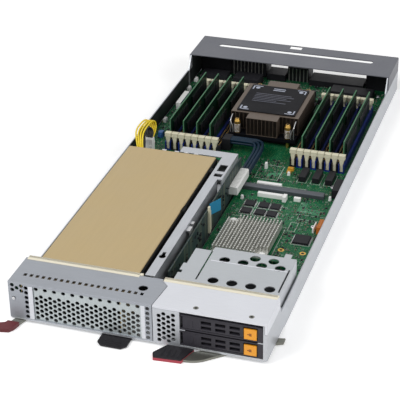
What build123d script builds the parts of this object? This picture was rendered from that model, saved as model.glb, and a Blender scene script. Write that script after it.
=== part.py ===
from build123d import *
import os
from math import atan2, degrees, sqrt

# Blade: a sheet-steel tray with its lid off, front face towards -Y
tray_sheet = 1.2
cover_sheet = 1.0
wall_height = 26.0
front_wall_drop = 11.8
tray_bend = 1.8
joint_gap = 0.3
running_gap = 0.4

# Recess below the raised front floor, where the ejector levers and the service tab lie
recess_depth = 58.0
recess_ramp = 4.0
lever_sheet = 2.2
lever_room = 0.5

# Drive bay at the right front: two carriers, one above the other
drive_width = 69.85
drive_length = 100.0
drive_height = 9.5
drive_side_play = 0.975
drive_head_room = 5.9
carrier_tail_room = 6.0
backplane_room = 7.0
carrier_side_gap = 0.45
shelf_sheet = 0.8
shelf_width = 5.0
bay_head_room = 3.3
bay_wall_gap = 1.6
duct_width = 40.5

# Rear cover and the ears that carry it
rear_cover_depth = 60.0
ear_slope = 10.0
cover_slot_inset = 23.0
cover_slot_width = 7.0
cover_slot_end = 27.0
cover_window_width = 15.0
cover_window_length = 9.0
cover_window_inset = 6.0
cover_window_x = -3.0

# Front cages: flanges, gaskets and vents
flange_depth = 43.4
lip_depth = 3.8
lip_drop = 0.4
gasket_width = 3.4
gasket_height = 1.7
drive_panel_width = 26.1
seam_gap = 0.6
seam_bulge = 3.4
seam_bulge_depth = 33.8
seam_return = 6.6
seam_return_depth = 40.4
cage_side_wall_inset = 1.2
front_lip_height = 2.5
cell_pitch = 5.2
cell_across = 3.7
cell_margin = 0.6
strip_cell_drop = 6.1
strip_cells = [(4.1, 2.6), (4.1, -2.6), (8.6, 0.0), (13.1, 2.6), (13.1, -2.6)]
left_column_inset = 17.8
right_column_inset = 4.1
flange_slot_pitch = 6.04
flange_slot_width = 3.2
flange_slot_depth = 4.6
flange_slot_row = 15.0
flange_slot_start = 11.4
flange_slot_room = 14.0
flange_hole_radius = 4.5
flange_hole_row = 24.3
flange_hole_inset = 16.4

# Accelerator card
card_wall_gap = 12.0
card_width = 98.5
card_length = 288.5
card_lip_gap = 0.1
card_board_z = 6.7
card_board_sheet = 1.6
shroud_sheet = 1.2
card_panel_edge = 2.0
card_panel_sheet = 1.0
card_panel_first_z = 7.6
card_panel_top_drop = 4.7
card_panel_inset = 15.5
card_panel_room = 13.6
finger_length = 89.0
finger_reach = 16.5
finger_start = 75.0
card_fin_count = 17
card_fin_sheet = 1.2
card_fin_inset = 4.0
card_fin_base = 5.7
card_fin_top_gap = 0.6
card_fin_end_inset = 12.0

# Riser rail, riser board and its cable
rail_gap = 6.0
rail_width = 9.5
rail_sheet = 1.2
rail_start = 50.0
rail_step_gap = 45.5
rail_tail = 14.5
rail_foot_start = 64.5
rail_foot_length = 7.0
rail_web_bottom = 13.0
riser_reach = 5.0
strip_width = 12.0
strip_reach = 47.5
# Windows in the rail's wide end: distance behind the step, then length
rail_windows = [(5.0, 7.0), (17.0, 15.0)]
rail_rim = 3.5
keyhole_depth = 85.0
keyhole_radius = 3.4
keyhole_slot = 8.0
riser_sheet = 1.6
riser_bottom = 2.0
riser_top = 34.0
riser_tail = 21.5
slot_height = 7.5
slot_fit = 0.15
slot_wall = 3.0
plug_gap = 26.5
plug_length = 44.0
plug_width = 9.5
plug_bottom = 14.0
plug_height = 9.0
pull_tab_gap = 92.5
pull_tab_length = 14.0
pull_tab_width = 7.5
pull_tab_z = 25.0
pull_tab_height = 13.5
pull_tab_sheet = 0.8
cable_diameter = 5.0

# Main board
board_sheet = 1.6
standoff_height = 4.8
standoff_across = 6.0
board_side_gap = 2.3
board_strip_gap = 3.4
board_bay_gap = 5.0
board_card_gap = 22.5
board_rear_gap = 7.0
stiffener_gap = 23.0
stiffener_width = 8.0
stiffener_height = 5.4
stiffener_length = 90.0
stiffener_offset = 3.0

# Processor and its cooler
cooler_shift = 14.5
cooler_width = 78.5
cooler_length = 104.0
cooler_base_height = 4.0
cooler_drop = 3.5
cooler_fin_depth = 77.0
cooler_nose_width = 36.0
cooler_fin_pitch = 4.4
cooler_fin_sheet = 0.7
cooler_skin = 0.6
plate_width = 68.0
plate_depth = 70.0
plate_sheet = 1.0
cooler_screw_x = 59.0
cooler_screw_y = 95.0
cooler_stud_across = 4.0
cooler_spring_radius = 3.6
cooler_spring_height = 14.0
cooler_tip_radius = 2.2
cooler_tip_height = 3.0
barrel_sides = 12
socket_width = 76.0
socket_length = 84.0
socket_height = 3.4
processor_width = 57.0
processor_length = 77.5
processor_height = 4.0

# Memory banks: eight sockets each, every second one filled
left_bank_gap = 1.0
right_bank_gap = 4.2
bank_pitch = 7.8
bank_pairs = 4
bank_side_share = 0.26
bank_front_gap = 62.5
bank_rear_gap = 89.0
slot_width = 6.5
slot_overlength = 7.65
dimm_slot_height = 8.0
tower_length = 7.0
tower_height = 10.4
tower_channel = 4.1
dimm_length = 133.35
dimm_height = 31.25
dimm_sheet = 1.27
dimm_seat = 2.2
dimm_fit = 0.12
dimm_chip_length = 50.0
dimm_chip_height = 11.0
dimm_chip_sheet = 1.0
dimm_chip_rise = 14.0
latch_top = 20.4
latch_waist = 10.6
latch_head_width = 7.3
latch_stem_width = 3.4
latch_stem_length = 4.0
latch_head_reach = 4.0
latch_bottom = 1.4

# Chipset heatsink
chipset_gap = 12.0
chipset_start_share = 0.185
chipset_width = 55.0
chipset_length_share = 0.338
chipset_chip = 25.0
chipset_chip_height = 2.0
chipset_base = 2.6
chipset_height = 10.4
chipset_fin_count = 16
chipset_fin_sheet = 1.5
chipset_cut_count = 2
chipset_cut_width = 2.4
push_pin_width = 5.4
push_pin_shank = 2.4
push_pin_rise = 1.6
push_pin_inset = 4.5

# Ejector levers
lever_pivot_inset = 16.0
lever_pivot_depth = 24.0
pivot_radius = 3.0
pivot_fit = 0.05
pivot_head_across = 9.0
pivot_head_height = 0.35
lever_boss_radius = 8.0
right_arm_width = 14.0
right_arm_radius = 20.0
right_arm_bends = [(-22.0, -11.0), (-48.0, -34.0), (-72.0, -35.0)]
right_grip_outline = [(-77.0, -25.0), (-86.0, -39.5), (-83.6, -46.0), (-58.2, -44.0), (-52.0, -25.0)]
left_arm_width = 9.0
left_arm_radius = 6.0
left_arm_bends = [(-8.0, -26.0), (-11.0, -35.0), (-19.0, -40.5)]
left_grip_outline = [
    (-16.0, -30.5),
    (-4.6, -30.5),
    (-6.6, -39.0),
    (-9.5, -43.6),
    (-23.0, -46.4),
    (-23.0, -36.5),
    (-17.0, -33.8),
]
hook_reach = 6.0
hook_root = 5.0
hook_neck = 12.0
hook_tip_start = 10.0
hook_width = 7.0
grip_top = 4.3
grip_floor = 0.15

# Service tab below the card bracket
tab_left = 91.0
tab_width = 28.4
tab_sheet = 1.5
tab_z = 0.9
tab_front = 16.0
tab_tail = 38.0
tab_chamfer = 4.5
tab_guide_width = 2.0
tab_guide_lip = 1.6
tab_guide_sheet = 0.35

# Drive carriers, handles and release buttons
carrier_sheet = 1.0
carrier_rail = 2.5
carrier_front = 4.0
carrier_front_sheet = 2.0
carrier_set_back = 0.4
carrier_rim = 1.2
handle_pin_inset = 3.4
handle_pin_radius = 0.8
handle_room = 21.3
handle_slot_columns = 3
handle_slot_rows = 2
handle_slot_height = 3.4
handle_slot_width_share = 0.173
handle_slot_pitch_share = 0.24
handle_slot_first_share = 0.288
handle_slot_rise = 3.4
handle_slot_step = 5.4
button_gap = 0.7
button_width = 11.7
button_height = 10.6
button_sheet = 2.0
button_proud = 0.2
backplane_sheet = 1.6
backplane_height = 32.0
drive_plug_width = 40.0
drive_plug_height = 5.0

# Power button and its switch board
power_x = 5.0
power_z = 25.9
power_radius = 1.6
power_fit = 0.3
power_proud = 1.0
power_length = 4.2
switch_board_depth = 6.0
switch_board_sheet = 1.2
switch_board_width = 10.0
switch_board_height = 24.0
switch_size = 5.0
switch_gap = 1.1
switch_post_across = 3.0
switch_post_inset = 3.0

# Card power lead: a plug on the card's tail and a header on the main board
lead_plug_inset = 0.5
lead_plug_width = 9.5
lead_plug_length = 14.0
lead_plug_height = 12.0
lead_plug_z = 15.0
header_gap = 42.5
header_length = 10.0
header_height = 13.0
lead_band = 2.4
lead_band_width = 8.0
lead_gap = 1.2
lead_nest = 1.4
lead_straight = 9.0
lead_shoulder = 6.0
lead_crest_drop = 3.0
lead_bends = [6.0, 8.0, 6.0]

# Drive cage roof
roof_left_inset = 4.5
roof_step = 3.1
roof_step_depth = 78.0
roof_notch = 5.0
roof_notch_depth = 61.0
roof_corner = 7.0
roof_tab_width = 6.5
roof_tab_length = 7.0
roof_tab_inset = 6.0
roof_hole_radius = 5.2
roof_hole_sides = 18
roof_hole_pitch = 18.0
roof_hole_shift = 2.1
roof_hole_front = 56.5
roof_hole_back = 93.4
roof_hole_last = 103.5
roof_slot_width = 1.6
roof_slot_inset = 6.0

# Board fixings, connectors and components
middle_fixing_share = 0.585
rear_fixing_gap = 30.0
cable_header_gap = 23.0
cable_header_inset = 4.4
cable_header_length = 14.0
cable_header_width = 9.0
cable_header_height = 14.4
cable_spread = 2.55
cable_sides = 6
cable_bend = 32.0
midplane_length = 25.0
midplane_recess = 3.0
midplane_wall = 2.0
# Midplane blocks: middle and width as shares of the half width, then the height
midplane_blocks = [(-0.81, 0.315, 23.0), (-0.468, 0.355, 23.0), (0.039, 0.21, 18.0), (0.839, 0.226, 23.0)]
# Chips: distance from the strip's left edge, share of its length, size, height
chip_places = [
    (21.0, 0.655, 8.0, 1.6),
    (36.0, 0.655, 8.0, 1.6),
    (48.5, 0.655, 8.0, 1.6),
    (21.0, 0.735, 8.0, 1.6),
    (36.0, 0.735, 8.0, 1.6),
    (48.5, 0.735, 8.0, 1.6),
]
corner_chip_inset = 17.0
corner_chip_share = 0.441
corner_chip_size = 16.0
corner_chip_height = 2.0
# Inductors ahead of the right memory bank, and a long black connector by the right wall
inductor_size = (7.5, 22.0, 6.0)
inductor_insets = [21.5, 36.5, 51.0]
inductor_gap = 19.0
wall_connector_inset = 5.0
wall_connector_gap = 3.4
wall_connector_size = (7.0, 26.0, 10.0)
# White connectors: distance from the strip's left edge, from the stiffener's front, then sizes
connector_places = [
    (30.5, 13.0, 27.0, 4.5, 4.5),
    (37.5, -9.0, 27.0, 4.5, 4.5),
    (54.0, -12.0, 4.0, 8.0, 6.0),
    (67.0, -9.0, 7.0, 4.0, 4.0),
]
side_connector_share = 0.2
side_connector_place = 0.37
side_connector_shift = 41.5
side_connector_length = 34.0
side_connector_height = 9.0

# Worked-out levels and lines
carrier_width = drive_width + 2 * (carrier_rail + drive_side_play)
carrier_height = drive_height + drive_head_room
carrier_length = drive_length + carrier_tail_room
handle_length = carrier_width - handle_room
bay_depth = carrier_length + backplane_room
bay_width = carrier_width + 2 * carrier_side_gap
card_side = card_wall_gap + card_width + rail_gap + rail_width
drive_side = bay_width + cover_sheet + bay_wall_gap + tray_sheet
blade_width = card_side + duct_width + drive_side
card_front = cover_sheet + card_panel_sheet
card_rear = card_front + card_length
slot_length = dimm_length + slot_overlength
bank_length = slot_length + 2 * tower_length
bank_start = card_rear + bank_front_gap
bank_depth = bank_start + bank_length / 2
blade_length = bank_start + bank_length + bank_rear_gap
half_width = blade_width / 2
inner_half = half_width - tray_sheet
y_front = -blade_length / 2
recess_height = lever_sheet + 2 * lever_room
front_floor = recess_height + tray_sheet
bay_floor = front_floor + cover_sheet
lower_carrier_z = bay_floor + running_gap
shelf_z = lower_carrier_z + carrier_height + running_gap
upper_carrier_z = shelf_z + shelf_sheet + running_gap
bay_ceiling = upper_carrier_z + carrier_height + bay_head_room
bay_top = bay_ceiling + cover_sheet
blade_height = bay_top + cover_sheet
bay_right = half_width - tray_sheet - bay_wall_gap - cover_sheet
bay_left = bay_right - bay_width
seam_x = bay_left - drive_panel_width
front_wall_height = blade_height - front_wall_drop
lip_z = blade_height - cover_sheet - lip_drop
card_top = lip_z - cover_sheet - card_lip_gap
skirt_bottom = front_wall_height + joint_gap
board_z = tray_sheet + standoff_height
board_top = board_z + board_sheet
card_left = -half_width + card_wall_gap
card_right = card_left + card_width
rail_left = card_right + rail_gap
rail_right = rail_left + rail_width
riser_x = rail_right + riser_reach
riser_right = riser_x + riser_sheet
rail_step = card_rear - rail_step_gap
rail_end = card_rear + rail_tail
riser_end = card_rear + riser_tail
plug_start = card_rear - plug_gap
pull_tab_start = card_rear - pull_tab_gap
header_start = card_rear + header_gap
board_strip_start = bay_depth + board_bay_gap
board_step = card_rear + board_card_gap
strip_length = board_step - board_strip_start
strip_right = inner_half - board_side_gap
stiffener_start = board_step - stiffener_gap
board_strip_left = riser_right + board_strip_gap
roof_start = flange_depth + lip_depth + joint_gap
shelf_end = bay_depth - backplane_sheet - 2 * joint_gap
cell_step = cell_pitch * sqrt(3) / 2
tab_x = -half_width + tab_left
power_button_x = -half_width + power_x
card_panel_first_x = card_left + card_panel_inset
card_panel_top_row_z = blade_height - card_panel_top_drop
card_panel_columns = int((seam_x - card_panel_room - card_panel_first_x) / cell_step) + 1
card_panel_rows = int((card_panel_top_row_z - card_panel_first_z) / cell_pitch + cell_margin) - 1
side_rows = card_panel_rows + 2
flange_slot_first = -half_width + flange_slot_start
flange_slot_count = int((seam_x - flange_slot_room - flange_slot_first) / flange_slot_pitch) + 1
card_panel_left = card_panel_first_x - cell_across
card_panel_right = card_panel_left + (card_panel_columns - 1) * cell_step + 2 * cell_across
card_panel_low = card_panel_first_z - cell_across * cell_margin
card_panel_high = card_panel_top_row_z + cell_across * cell_margin
lead_x = card_left + lead_plug_inset + lead_plug_width / 2
lead_crest = blade_height - lead_crest_drop
chipset_left = board_strip_left + chipset_gap
chipset_depth = board_strip_start + chipset_start_share * strip_length
chipset_length = chipset_length_share * strip_length
bank_width = 2 * bank_pairs * bank_pitch - bank_pitch + slot_width
bank_spare = 2 * (inner_half - bank_width) - left_bank_gap - cooler_width - right_bank_gap
right_bank_x = inner_half - bank_side_share * bank_spare - bank_width
cooler_x = right_bank_x - right_bank_gap - cooler_width / 2
left_bank_x = cooler_x - cooler_width / 2 - left_bank_gap - bank_width
cooler_depth = bank_depth + cooler_shift
cooler_top = blade_height - cooler_drop
cable_header_x = cooler_x - cooler_width / 2 + cable_header_inset
cable_header_start = cooler_depth - cooler_length / 2 - cable_header_gap
cooler_base_z = board_top + socket_height + processor_height
cooler_fin_z = cooler_base_z + cooler_base_height


def yf(depth):
    """Y of a point that lies depth behind the front face."""
    return y_front + depth


def block(x0, x1, y0, y1, z0, z1):
    """A block between two corners."""
    centre = Pos((x0 + x1) / 2, (y0 + y1) / 2, (z0 + z1) / 2)
    return centre * Box(x1 - x0, y1 - y0, z1 - z0)


def area(u0, u1, v0, v1):
    """A flat rectangle between two corners."""
    return Pos((u0 + u1) / 2, (v0 + v1) / 2) * Rectangle(u1 - u0, v1 - v0)


def prism_x(points, x0, x1):
    """An outline in Y and Z, drawn out along X."""
    outline = Polyline([(x0, y, z) for y, z in points], close=True)
    return extrude(make_face(outline), amount=x1 - x0, dir=(1, 0, 0))


def prism_y(points, y0, y1):
    """An outline in X and Z, drawn out along Y."""
    outline = Polyline([(x, y0, z) for x, z in points], close=True)
    return extrude(make_face(outline), amount=y1 - y0, dir=(0, 1, 0))


def prism_z(points, z0, z1):
    """An outline in X and Y, drawn out along Z."""
    outline = Polyline([(x, y, z0) for x, y in points], close=True)
    return extrude(make_face(outline), amount=z1 - z0, dir=(0, 0, 1))


def sheet_y(profile, y0, y1):
    """A pierced sheet that faces the front: a sketch in X and Z, y0 to y1 thick."""
    face = Plane(origin=(0, y1, 0), x_dir=(1, 0, 0), z_dir=(0, -1, 0))
    return extrude(face * profile, amount=y1 - y0)


def sheet_z(profile, z0, z1):
    """A pierced level sheet: a sketch in X and Y, z0 to z1 thick."""
    return extrude(Plane.XY.offset(z0) * profile, amount=z1 - z0)


def post(x, y, z0, z1, radius):
    """An upright round post."""
    return Pos(x, y, (z0 + z1) / 2) * Cylinder(radius, z1 - z0)


def hex_post(x, y, z0, z1, across):
    """An upright hexagonal post."""
    return sheet_z(Pos(x, y) * RegularPolygon(across / sqrt(3), 6), z0, z1)


def stub_y(x, z, y0, y1, radius):
    """A round stub along Y."""
    return Pos(x, (y0 + y1) / 2, z) * Rot(90, 0, 0) * Cylinder(radius, y1 - y0)


def cells(centres):
    """Honeycomb cells at the given centres, flat side up."""
    corner_radius = cell_across / sqrt(3)
    return [Pos(u, v) * RegularPolygon(corner_radius, 6) for u, v in centres]


def save(name, *shapes):
    """Writes one sub-part, a single solid or a group of separate solids."""
    solids = [solid for shape in shapes for solid in shape.solids()]
    part = solids[0] if len(solids) == 1 else Compound(solids)
    export_step(part, f"parts/{name}.step")


def base_tray():
    """Folded pan: floor with a raised front, side walls, rear ears and the tab's guides."""
    low = recess_depth + recess_ramp
    floor_line = [
        (yf(0), recess_height),
        (yf(recess_depth), recess_height),
        (yf(low), 0),
        (yf(blade_length), 0),
    ]
    floor_top = [
        (yf(blade_length), tray_sheet),
        (yf(low), tray_sheet),
        (yf(recess_depth), front_floor),
        (yf(0), front_floor),
    ]
    pan = prism_x(floor_line + floor_top, -inner_half, inner_half)
    wall = [
        (yf(cover_sheet), recess_height),
        *floor_line[1:],
        (yf(blade_length), wall_height),
        (yf(flange_depth + lip_depth), wall_height),
        (yf(flange_depth + lip_depth), front_wall_height),
        (yf(cover_sheet), front_wall_height),
    ]
    pan += prism_x(wall, -half_width, -inner_half)
    pan += prism_x(wall, inner_half, half_width)
    floor_edges = pan.edges().filter_by(Axis.Y).group_by(Axis.Z)[0]
    pan = fillet([floor_edges.sort_by(Axis.X)[0], floor_edges.sort_by(Axis.X)[-1]], tray_bend)
    ear_top = blade_height - cover_sheet
    ear_start = blade_length - rear_cover_depth
    ear = [
        (yf(ear_start - ear_slope), tray_sheet),
        (yf(blade_length), tray_sheet),
        (yf(blade_length), ear_top),
        (yf(ear_start), ear_top),
        (yf(ear_start - ear_slope), wall_height),
    ]
    pan += prism_x(ear, -inner_half, -inner_half + tray_sheet)
    pan += prism_x(ear, inner_half - tray_sheet, inner_half)
    for side, edge in ((-1, tab_x - running_gap), (1, tab_x + tab_width + running_gap)):
        outer = edge + side * tab_guide_width
        inner = edge - side * tab_guide_lip
        rail_low = tab_z - running_gap - tab_guide_sheet
        guide = [
            (outer, recess_height),
            (outer, rail_low),
            (inner, rail_low),
            (inner, rail_low + tab_guide_sheet),
            (edge, rail_low + tab_guide_sheet),
            (edge, recess_height),
        ]
        pan += prism_y(guide, yf(tray_sheet), yf(tab_tail))
    return pan


def rear_cover():
    """Cap over the midplane connectors: a folded channel with a long slot and a small window."""
    low = wall_height + joint_gap
    inner = half_width - cover_sheet
    under = blade_height - cover_sheet
    channel = [
        (-half_width, low),
        (-half_width, blade_height),
        (half_width, blade_height),
        (half_width, low),
        (inner, low),
        (inner, under),
        (-inner, under),
        (-inner, low),
    ]
    start = blade_length - rear_cover_depth
    cap = prism_y(channel, yf(start), yf(blade_length))
    top_edges = cap.edges().filter_by(Axis.Y).group_by(Axis.Z)[-1]
    cap = fillet(top_edges, cover_sheet)
    slot = SlotOverall(2 * (half_width - cover_slot_end), cover_slot_width)
    window = Rectangle(cover_window_width, cover_window_length)
    cap -= sheet_z(Pos(0, yf(blade_length - cover_slot_inset)) * slot, under, blade_height)
    window_y = yf(blade_length - cover_window_inset)
    return cap - sheet_z(Pos(cover_window_x, window_y) * window, under, blade_height)


def seam_line(shift):
    """The joint between the two front flanges, moved sideways by shift."""
    return [
        (seam_x + shift, yf(0)),
        (seam_x + seam_bulge + shift, yf(seam_bulge_depth)),
        (seam_x + seam_bulge - seam_return + shift, yf(seam_return_depth)),
        (seam_x + seam_bulge - seam_return + shift, yf(flange_depth)),
    ]


def gasket_lip(x0, x1):
    """The stepped-down rear lip of a flange, which carries its gasket."""
    step = [
        (yf(flange_depth - cover_sheet), blade_height - cover_sheet),
        (yf(flange_depth - cover_sheet), lip_z - cover_sheet),
        (yf(flange_depth + lip_depth), lip_z - cover_sheet),
        (yf(flange_depth + lip_depth), lip_z),
        (yf(flange_depth), lip_z),
        (yf(flange_depth), blade_height - cover_sheet),
    ]
    return prism_x(step, x0, x1)


def gasket(x0, x1):
    """A cream contact strip that lies on a flange's rear lip."""
    start = yf(flange_depth + joint_gap)
    return block(x0, x1, start, start + gasket_width, lip_z, lip_z + gasket_height)


def card_cage():
    """Front cage over the accelerator card: vented face, top flange, left skirt, right wall."""
    left = -half_width
    face = area(left, seam_x, front_floor, blade_height)
    face -= area(card_panel_left, card_panel_right, card_panel_low, card_panel_high)
    strip_z = blade_height - strip_cell_drop
    face -= cells([(left + dx, strip_z + dz) for dx, dz in strip_cells])
    for column_x in (left + left_column_inset, seam_x - right_column_inset):
        face -= cells([(column_x, card_panel_first_z + row * cell_pitch) for row in range(side_rows)])
    face -= Pos(power_button_x, power_z) * Circle(power_radius + power_fit)
    cage = sheet_y(face, yf(0), yf(cover_sheet))
    flange = make_face(Polyline([(left, yf(0))] + seam_line(0) + [(left, yf(flange_depth))], close=True))
    row = yf(flange_slot_row)
    for index in range(flange_slot_count):
        slot_x = flange_slot_first + index * flange_slot_pitch
        flange -= Pos(slot_x, row) * Rectangle(flange_slot_width, flange_slot_depth)
    flange -= Pos(seam_x - flange_hole_inset, yf(flange_hole_row)) * Circle(flange_hole_radius)
    cage += sheet_z(flange, blade_height - cover_sheet, blade_height)
    cage += gasket_lip(left + cover_sheet, rail_left)
    under = blade_height - cover_sheet
    cage += block(left, left + cover_sheet, yf(0), yf(flange_depth), skirt_bottom, blade_height)
    wall_x = seam_x - cage_side_wall_inset
    cage += block(wall_x, wall_x + cover_sheet, yf(cover_sheet), yf(seam_bulge_depth), front_floor, under)
    return cage


def card_panel():
    """The card's bracket: a honeycomb panel behind the cage's front window."""
    edge = card_panel_edge
    sheet = area(
        card_panel_left - edge,
        card_panel_right + edge,
        card_panel_low - edge / 4,
        card_panel_high + edge / 4,
    )
    centres = []
    for column in range(card_panel_columns):
        x = card_panel_first_x + column * cell_step
        low = card_panel_first_z + (column % 2) * cell_pitch / 2
        centres += [(x, low + row * cell_pitch) for row in range(card_panel_rows)]
        if column % 2 == 0:
            centres.append((x, card_panel_top_row_z))
    return sheet_y(sheet - cells(centres), yf(cover_sheet), yf(cover_sheet + card_panel_sheet))


def comb(x0, x1, count, fin, base_z, base_top, fin_top):
    """A row of upright fins on a base, as an outline in X and Z."""
    pitch = (x1 - x0 - fin) / (count - 1)
    points = [(x0, base_z)]
    for index in range(count):
        left = x0 + index * pitch
        points += [(left, base_top)] if index else []
        points += [(left, fin_top), (left + fin, fin_top)]
        points += [(left + fin, base_top)] if index < count - 1 else []
    return points + [(x1, base_z)]


def card_shroud():
    """Gold duct of the card: a folded channel, open at both ends."""
    inner_top = card_top - shroud_sheet
    low = card_board_z + card_board_sheet
    channel = [
        (card_left, low),
        (card_left, card_top),
        (card_right, card_top),
        (card_right, low),
        (card_right - shroud_sheet, low),
        (card_right - shroud_sheet, inner_top),
        (card_left + shroud_sheet, inner_top),
        (card_left + shroud_sheet, low),
    ]
    duct = prism_y(channel, yf(card_front), yf(card_rear))
    top_edges = duct.edges().filter_by(Axis.Y).group_by(Axis.Z)[-1]
    return fillet(top_edges, shroud_sheet)


def card_board():
    """The card's board, with the finger tab that plugs into the riser socket."""
    outline = [
        (card_left, yf(card_front)),
        (card_right, yf(card_front)),
        (card_right, yf(finger_start)),
        (card_right + finger_reach, yf(finger_start)),
        (card_right + finger_reach, yf(finger_start + finger_length - 2 * slot_fit)),
        (card_right, yf(finger_start + finger_length - 2 * slot_fit)),
        (card_right, yf(card_rear)),
        (card_left, yf(card_rear)),
    ]
    return prism_z(outline, card_board_z, card_board_z + card_board_sheet)


def card_heatsink():
    """Finned block that fills the card's duct."""
    base_z = card_board_z + card_board_sheet
    points = comb(
        card_left + card_fin_inset,
        card_right - card_fin_inset,
        card_fin_count,
        card_fin_sheet,
        base_z,
        base_z + card_fin_base,
        card_top - shroud_sheet - card_fin_top_gap,
    )
    return prism_y(points, yf(card_front + card_fin_end_inset), yf(card_rear - card_fin_end_inset))


def riser_bracket():
    """Grey steel rail beside the card: top flange, webs, feet and the strip behind the card."""
    under = card_top - rail_sheet
    top = make_face(Polyline([
        (rail_left, yf(rail_start)),
        (rail_right, yf(rail_start)),
        (rail_right, yf(rail_step)),
        (riser_x, yf(rail_step)),
        (riser_x, yf(rail_end)),
        (rail_left - strip_reach, yf(rail_end)),
        (rail_left - strip_reach, yf(rail_end - strip_width)),
        (rail_left, yf(rail_end - strip_width)),
    ], close=True))
    for inset, length in rail_windows:
        window_y = yf(rail_step + inset)
        top -= area(rail_left + rail_rim, riser_x - 2 * rail_sheet, window_y, window_y + length)
    keyhole_x = (rail_left + rail_right) / 2
    top -= Pos(keyhole_x, yf(keyhole_depth)) * Circle(keyhole_radius)
    slot_half = keyhole_radius / 2
    slot_end = yf(keyhole_depth + keyhole_slot)
    top -= area(keyhole_x - slot_half, keyhole_x + slot_half, yf(keyhole_depth), slot_end)
    rail = sheet_z(top, under, card_top)
    foot_end = rail_foot_start + rail_foot_length
    web = [
        (yf(rail_start), rail_web_bottom),
        (yf(rail_foot_start), rail_web_bottom),
        (yf(rail_foot_start), tray_sheet),
        (yf(foot_end), tray_sheet),
        (yf(foot_end), rail_web_bottom),
        (yf(rail_step), rail_web_bottom),
        (yf(rail_step), under),
        (yf(rail_start), under),
    ]
    rail += prism_x(web, rail_right - rail_sheet, rail_right)
    rail += block(riser_x - rail_sheet, riser_x, yf(rail_step), yf(rail_end), tray_sheet, under)
    return rail


def riser_socket():
    """Edge socket on the riser board that takes the card's fingers."""
    middle = card_board_z + card_board_sheet / 2
    half = slot_height / 2
    groove = card_board_sheet / 2 + slot_fit
    deep = card_right + finger_reach + slot_fit
    outline = [
        (rail_right + running_gap, middle - half),
        (riser_x, middle - half),
        (riser_x, middle + half),
        (rail_right + running_gap, middle + half),
        (rail_right + running_gap, middle + groove),
        (deep, middle + groove),
        (deep, middle - groove),
        (rail_right + running_gap, middle - groove),
    ]
    start = yf(finger_start - slot_fit)
    socket = prism_y(outline, start, start + finger_length)
    for end in (start - slot_wall, start + finger_length):
        socket += block(rail_right + running_gap, riser_x, end, end + slot_wall, middle - half, middle + half)
    return socket


def riser_card():
    """Upright board that carries the riser socket and the cable plug."""
    start = yf(finger_start - slot_wall)
    return block(riser_x, riser_right, start, yf(riser_end), riser_bottom, riser_top)


def riser_plug():
    """White cable plug on the riser board."""
    start = yf(plug_start)
    top = plug_bottom + plug_height
    plug = block(riser_right, riser_right + plug_width, start, start + plug_length, plug_bottom, top)
    return chamfer(plug.edges().filter_by(Axis.Y).group_by(Axis.Z)[-1], plug_height / 8)


def pull_tab():
    """Blue ribbon for pulling the riser plug, standing out from the riser board."""
    start = yf(pull_tab_start)
    end = start + pull_tab_length
    tip_x = riser_right + pull_tab_width
    ribbon = [
        (riser_right, start),
        (riser_right, start - pull_tab_sheet),
        (tip_x, end - pull_tab_sheet),
        (tip_x, end),
    ]
    return prism_z(ribbon, pull_tab_z, pull_tab_z + pull_tab_height)


def riser_cable():
    """Two dark blue leads, side by side from the riser plug to their header beside the cooler."""
    middle_x = riser_right + joint_gap + cable_spread + cable_diameter / 2
    middle_y = yf(cable_header_start + cable_header_length / 2)
    header_right = cable_header_x + cable_header_width / 2
    z = plug_bottom + plug_height / 2
    leads = []
    for shift in (-cable_spread, cable_spread):
        route = FilletPolyline(
            (middle_x + shift, yf(plug_start + plug_length), z),
            (middle_x + shift, middle_y + shift, z),
            (header_right, middle_y + shift, z),
            radius=cable_bend + shift,
        )
        section = Plane(route @ 0, z_dir=route % 0) * RegularPolygon(cable_diameter / 2, cable_sides)
        leads.append(sweep(section, path=route))
    return leads


def drive_cage():
    """Drive bay: floor, side walls, shelves and the honeycomb panel at its left."""
    left = bay_left - cover_sheet
    right = bay_right + cover_sheet
    wall_top = lip_z - cover_sheet - joint_gap
    face_top = blade_height - front_lip_height - joint_gap
    face_left = seam_x + seam_gap
    face = area(face_left, bay_left, front_floor, face_top)
    columns = max(0, int((bay_left - face_left - 2 * cell_across) / cell_step))
    first_x = (face_left + bay_left - (columns - 1) * cell_step) / 2
    centres = []
    for column in range(columns):
        x = first_x + column * cell_step
        low = card_panel_first_z + (column % 2) * cell_pitch / 2
        centres += [(x, low + row * cell_pitch) for row in range(side_rows - 1)]
    cage = sheet_y(face - cells(centres), yf(0), yf(cover_sheet))
    side = [
        (yf(0), front_floor),
        (yf(bay_depth), front_floor),
        (yf(bay_depth), bay_ceiling),
        (yf(roof_start), bay_ceiling),
        (yf(roof_start), wall_top),
        (yf(cover_sheet), wall_top),
        (yf(cover_sheet), face_top),
        (yf(0), face_top),
    ]
    cage += prism_x(side, left, bay_left)
    cage += prism_x(side, bay_right, right)
    cage += block(left, right, yf(0), yf(bay_depth), front_floor, bay_floor)
    cage += block(bay_right, half_width, yf(0), yf(cover_sheet), front_floor, front_wall_height)
    for x0 in (bay_left, bay_right - shelf_width):
        cage += block(x0, x0 + shelf_width, yf(0), yf(shelf_end), shelf_z, shelf_z + shelf_sheet)
    return cage


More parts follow.
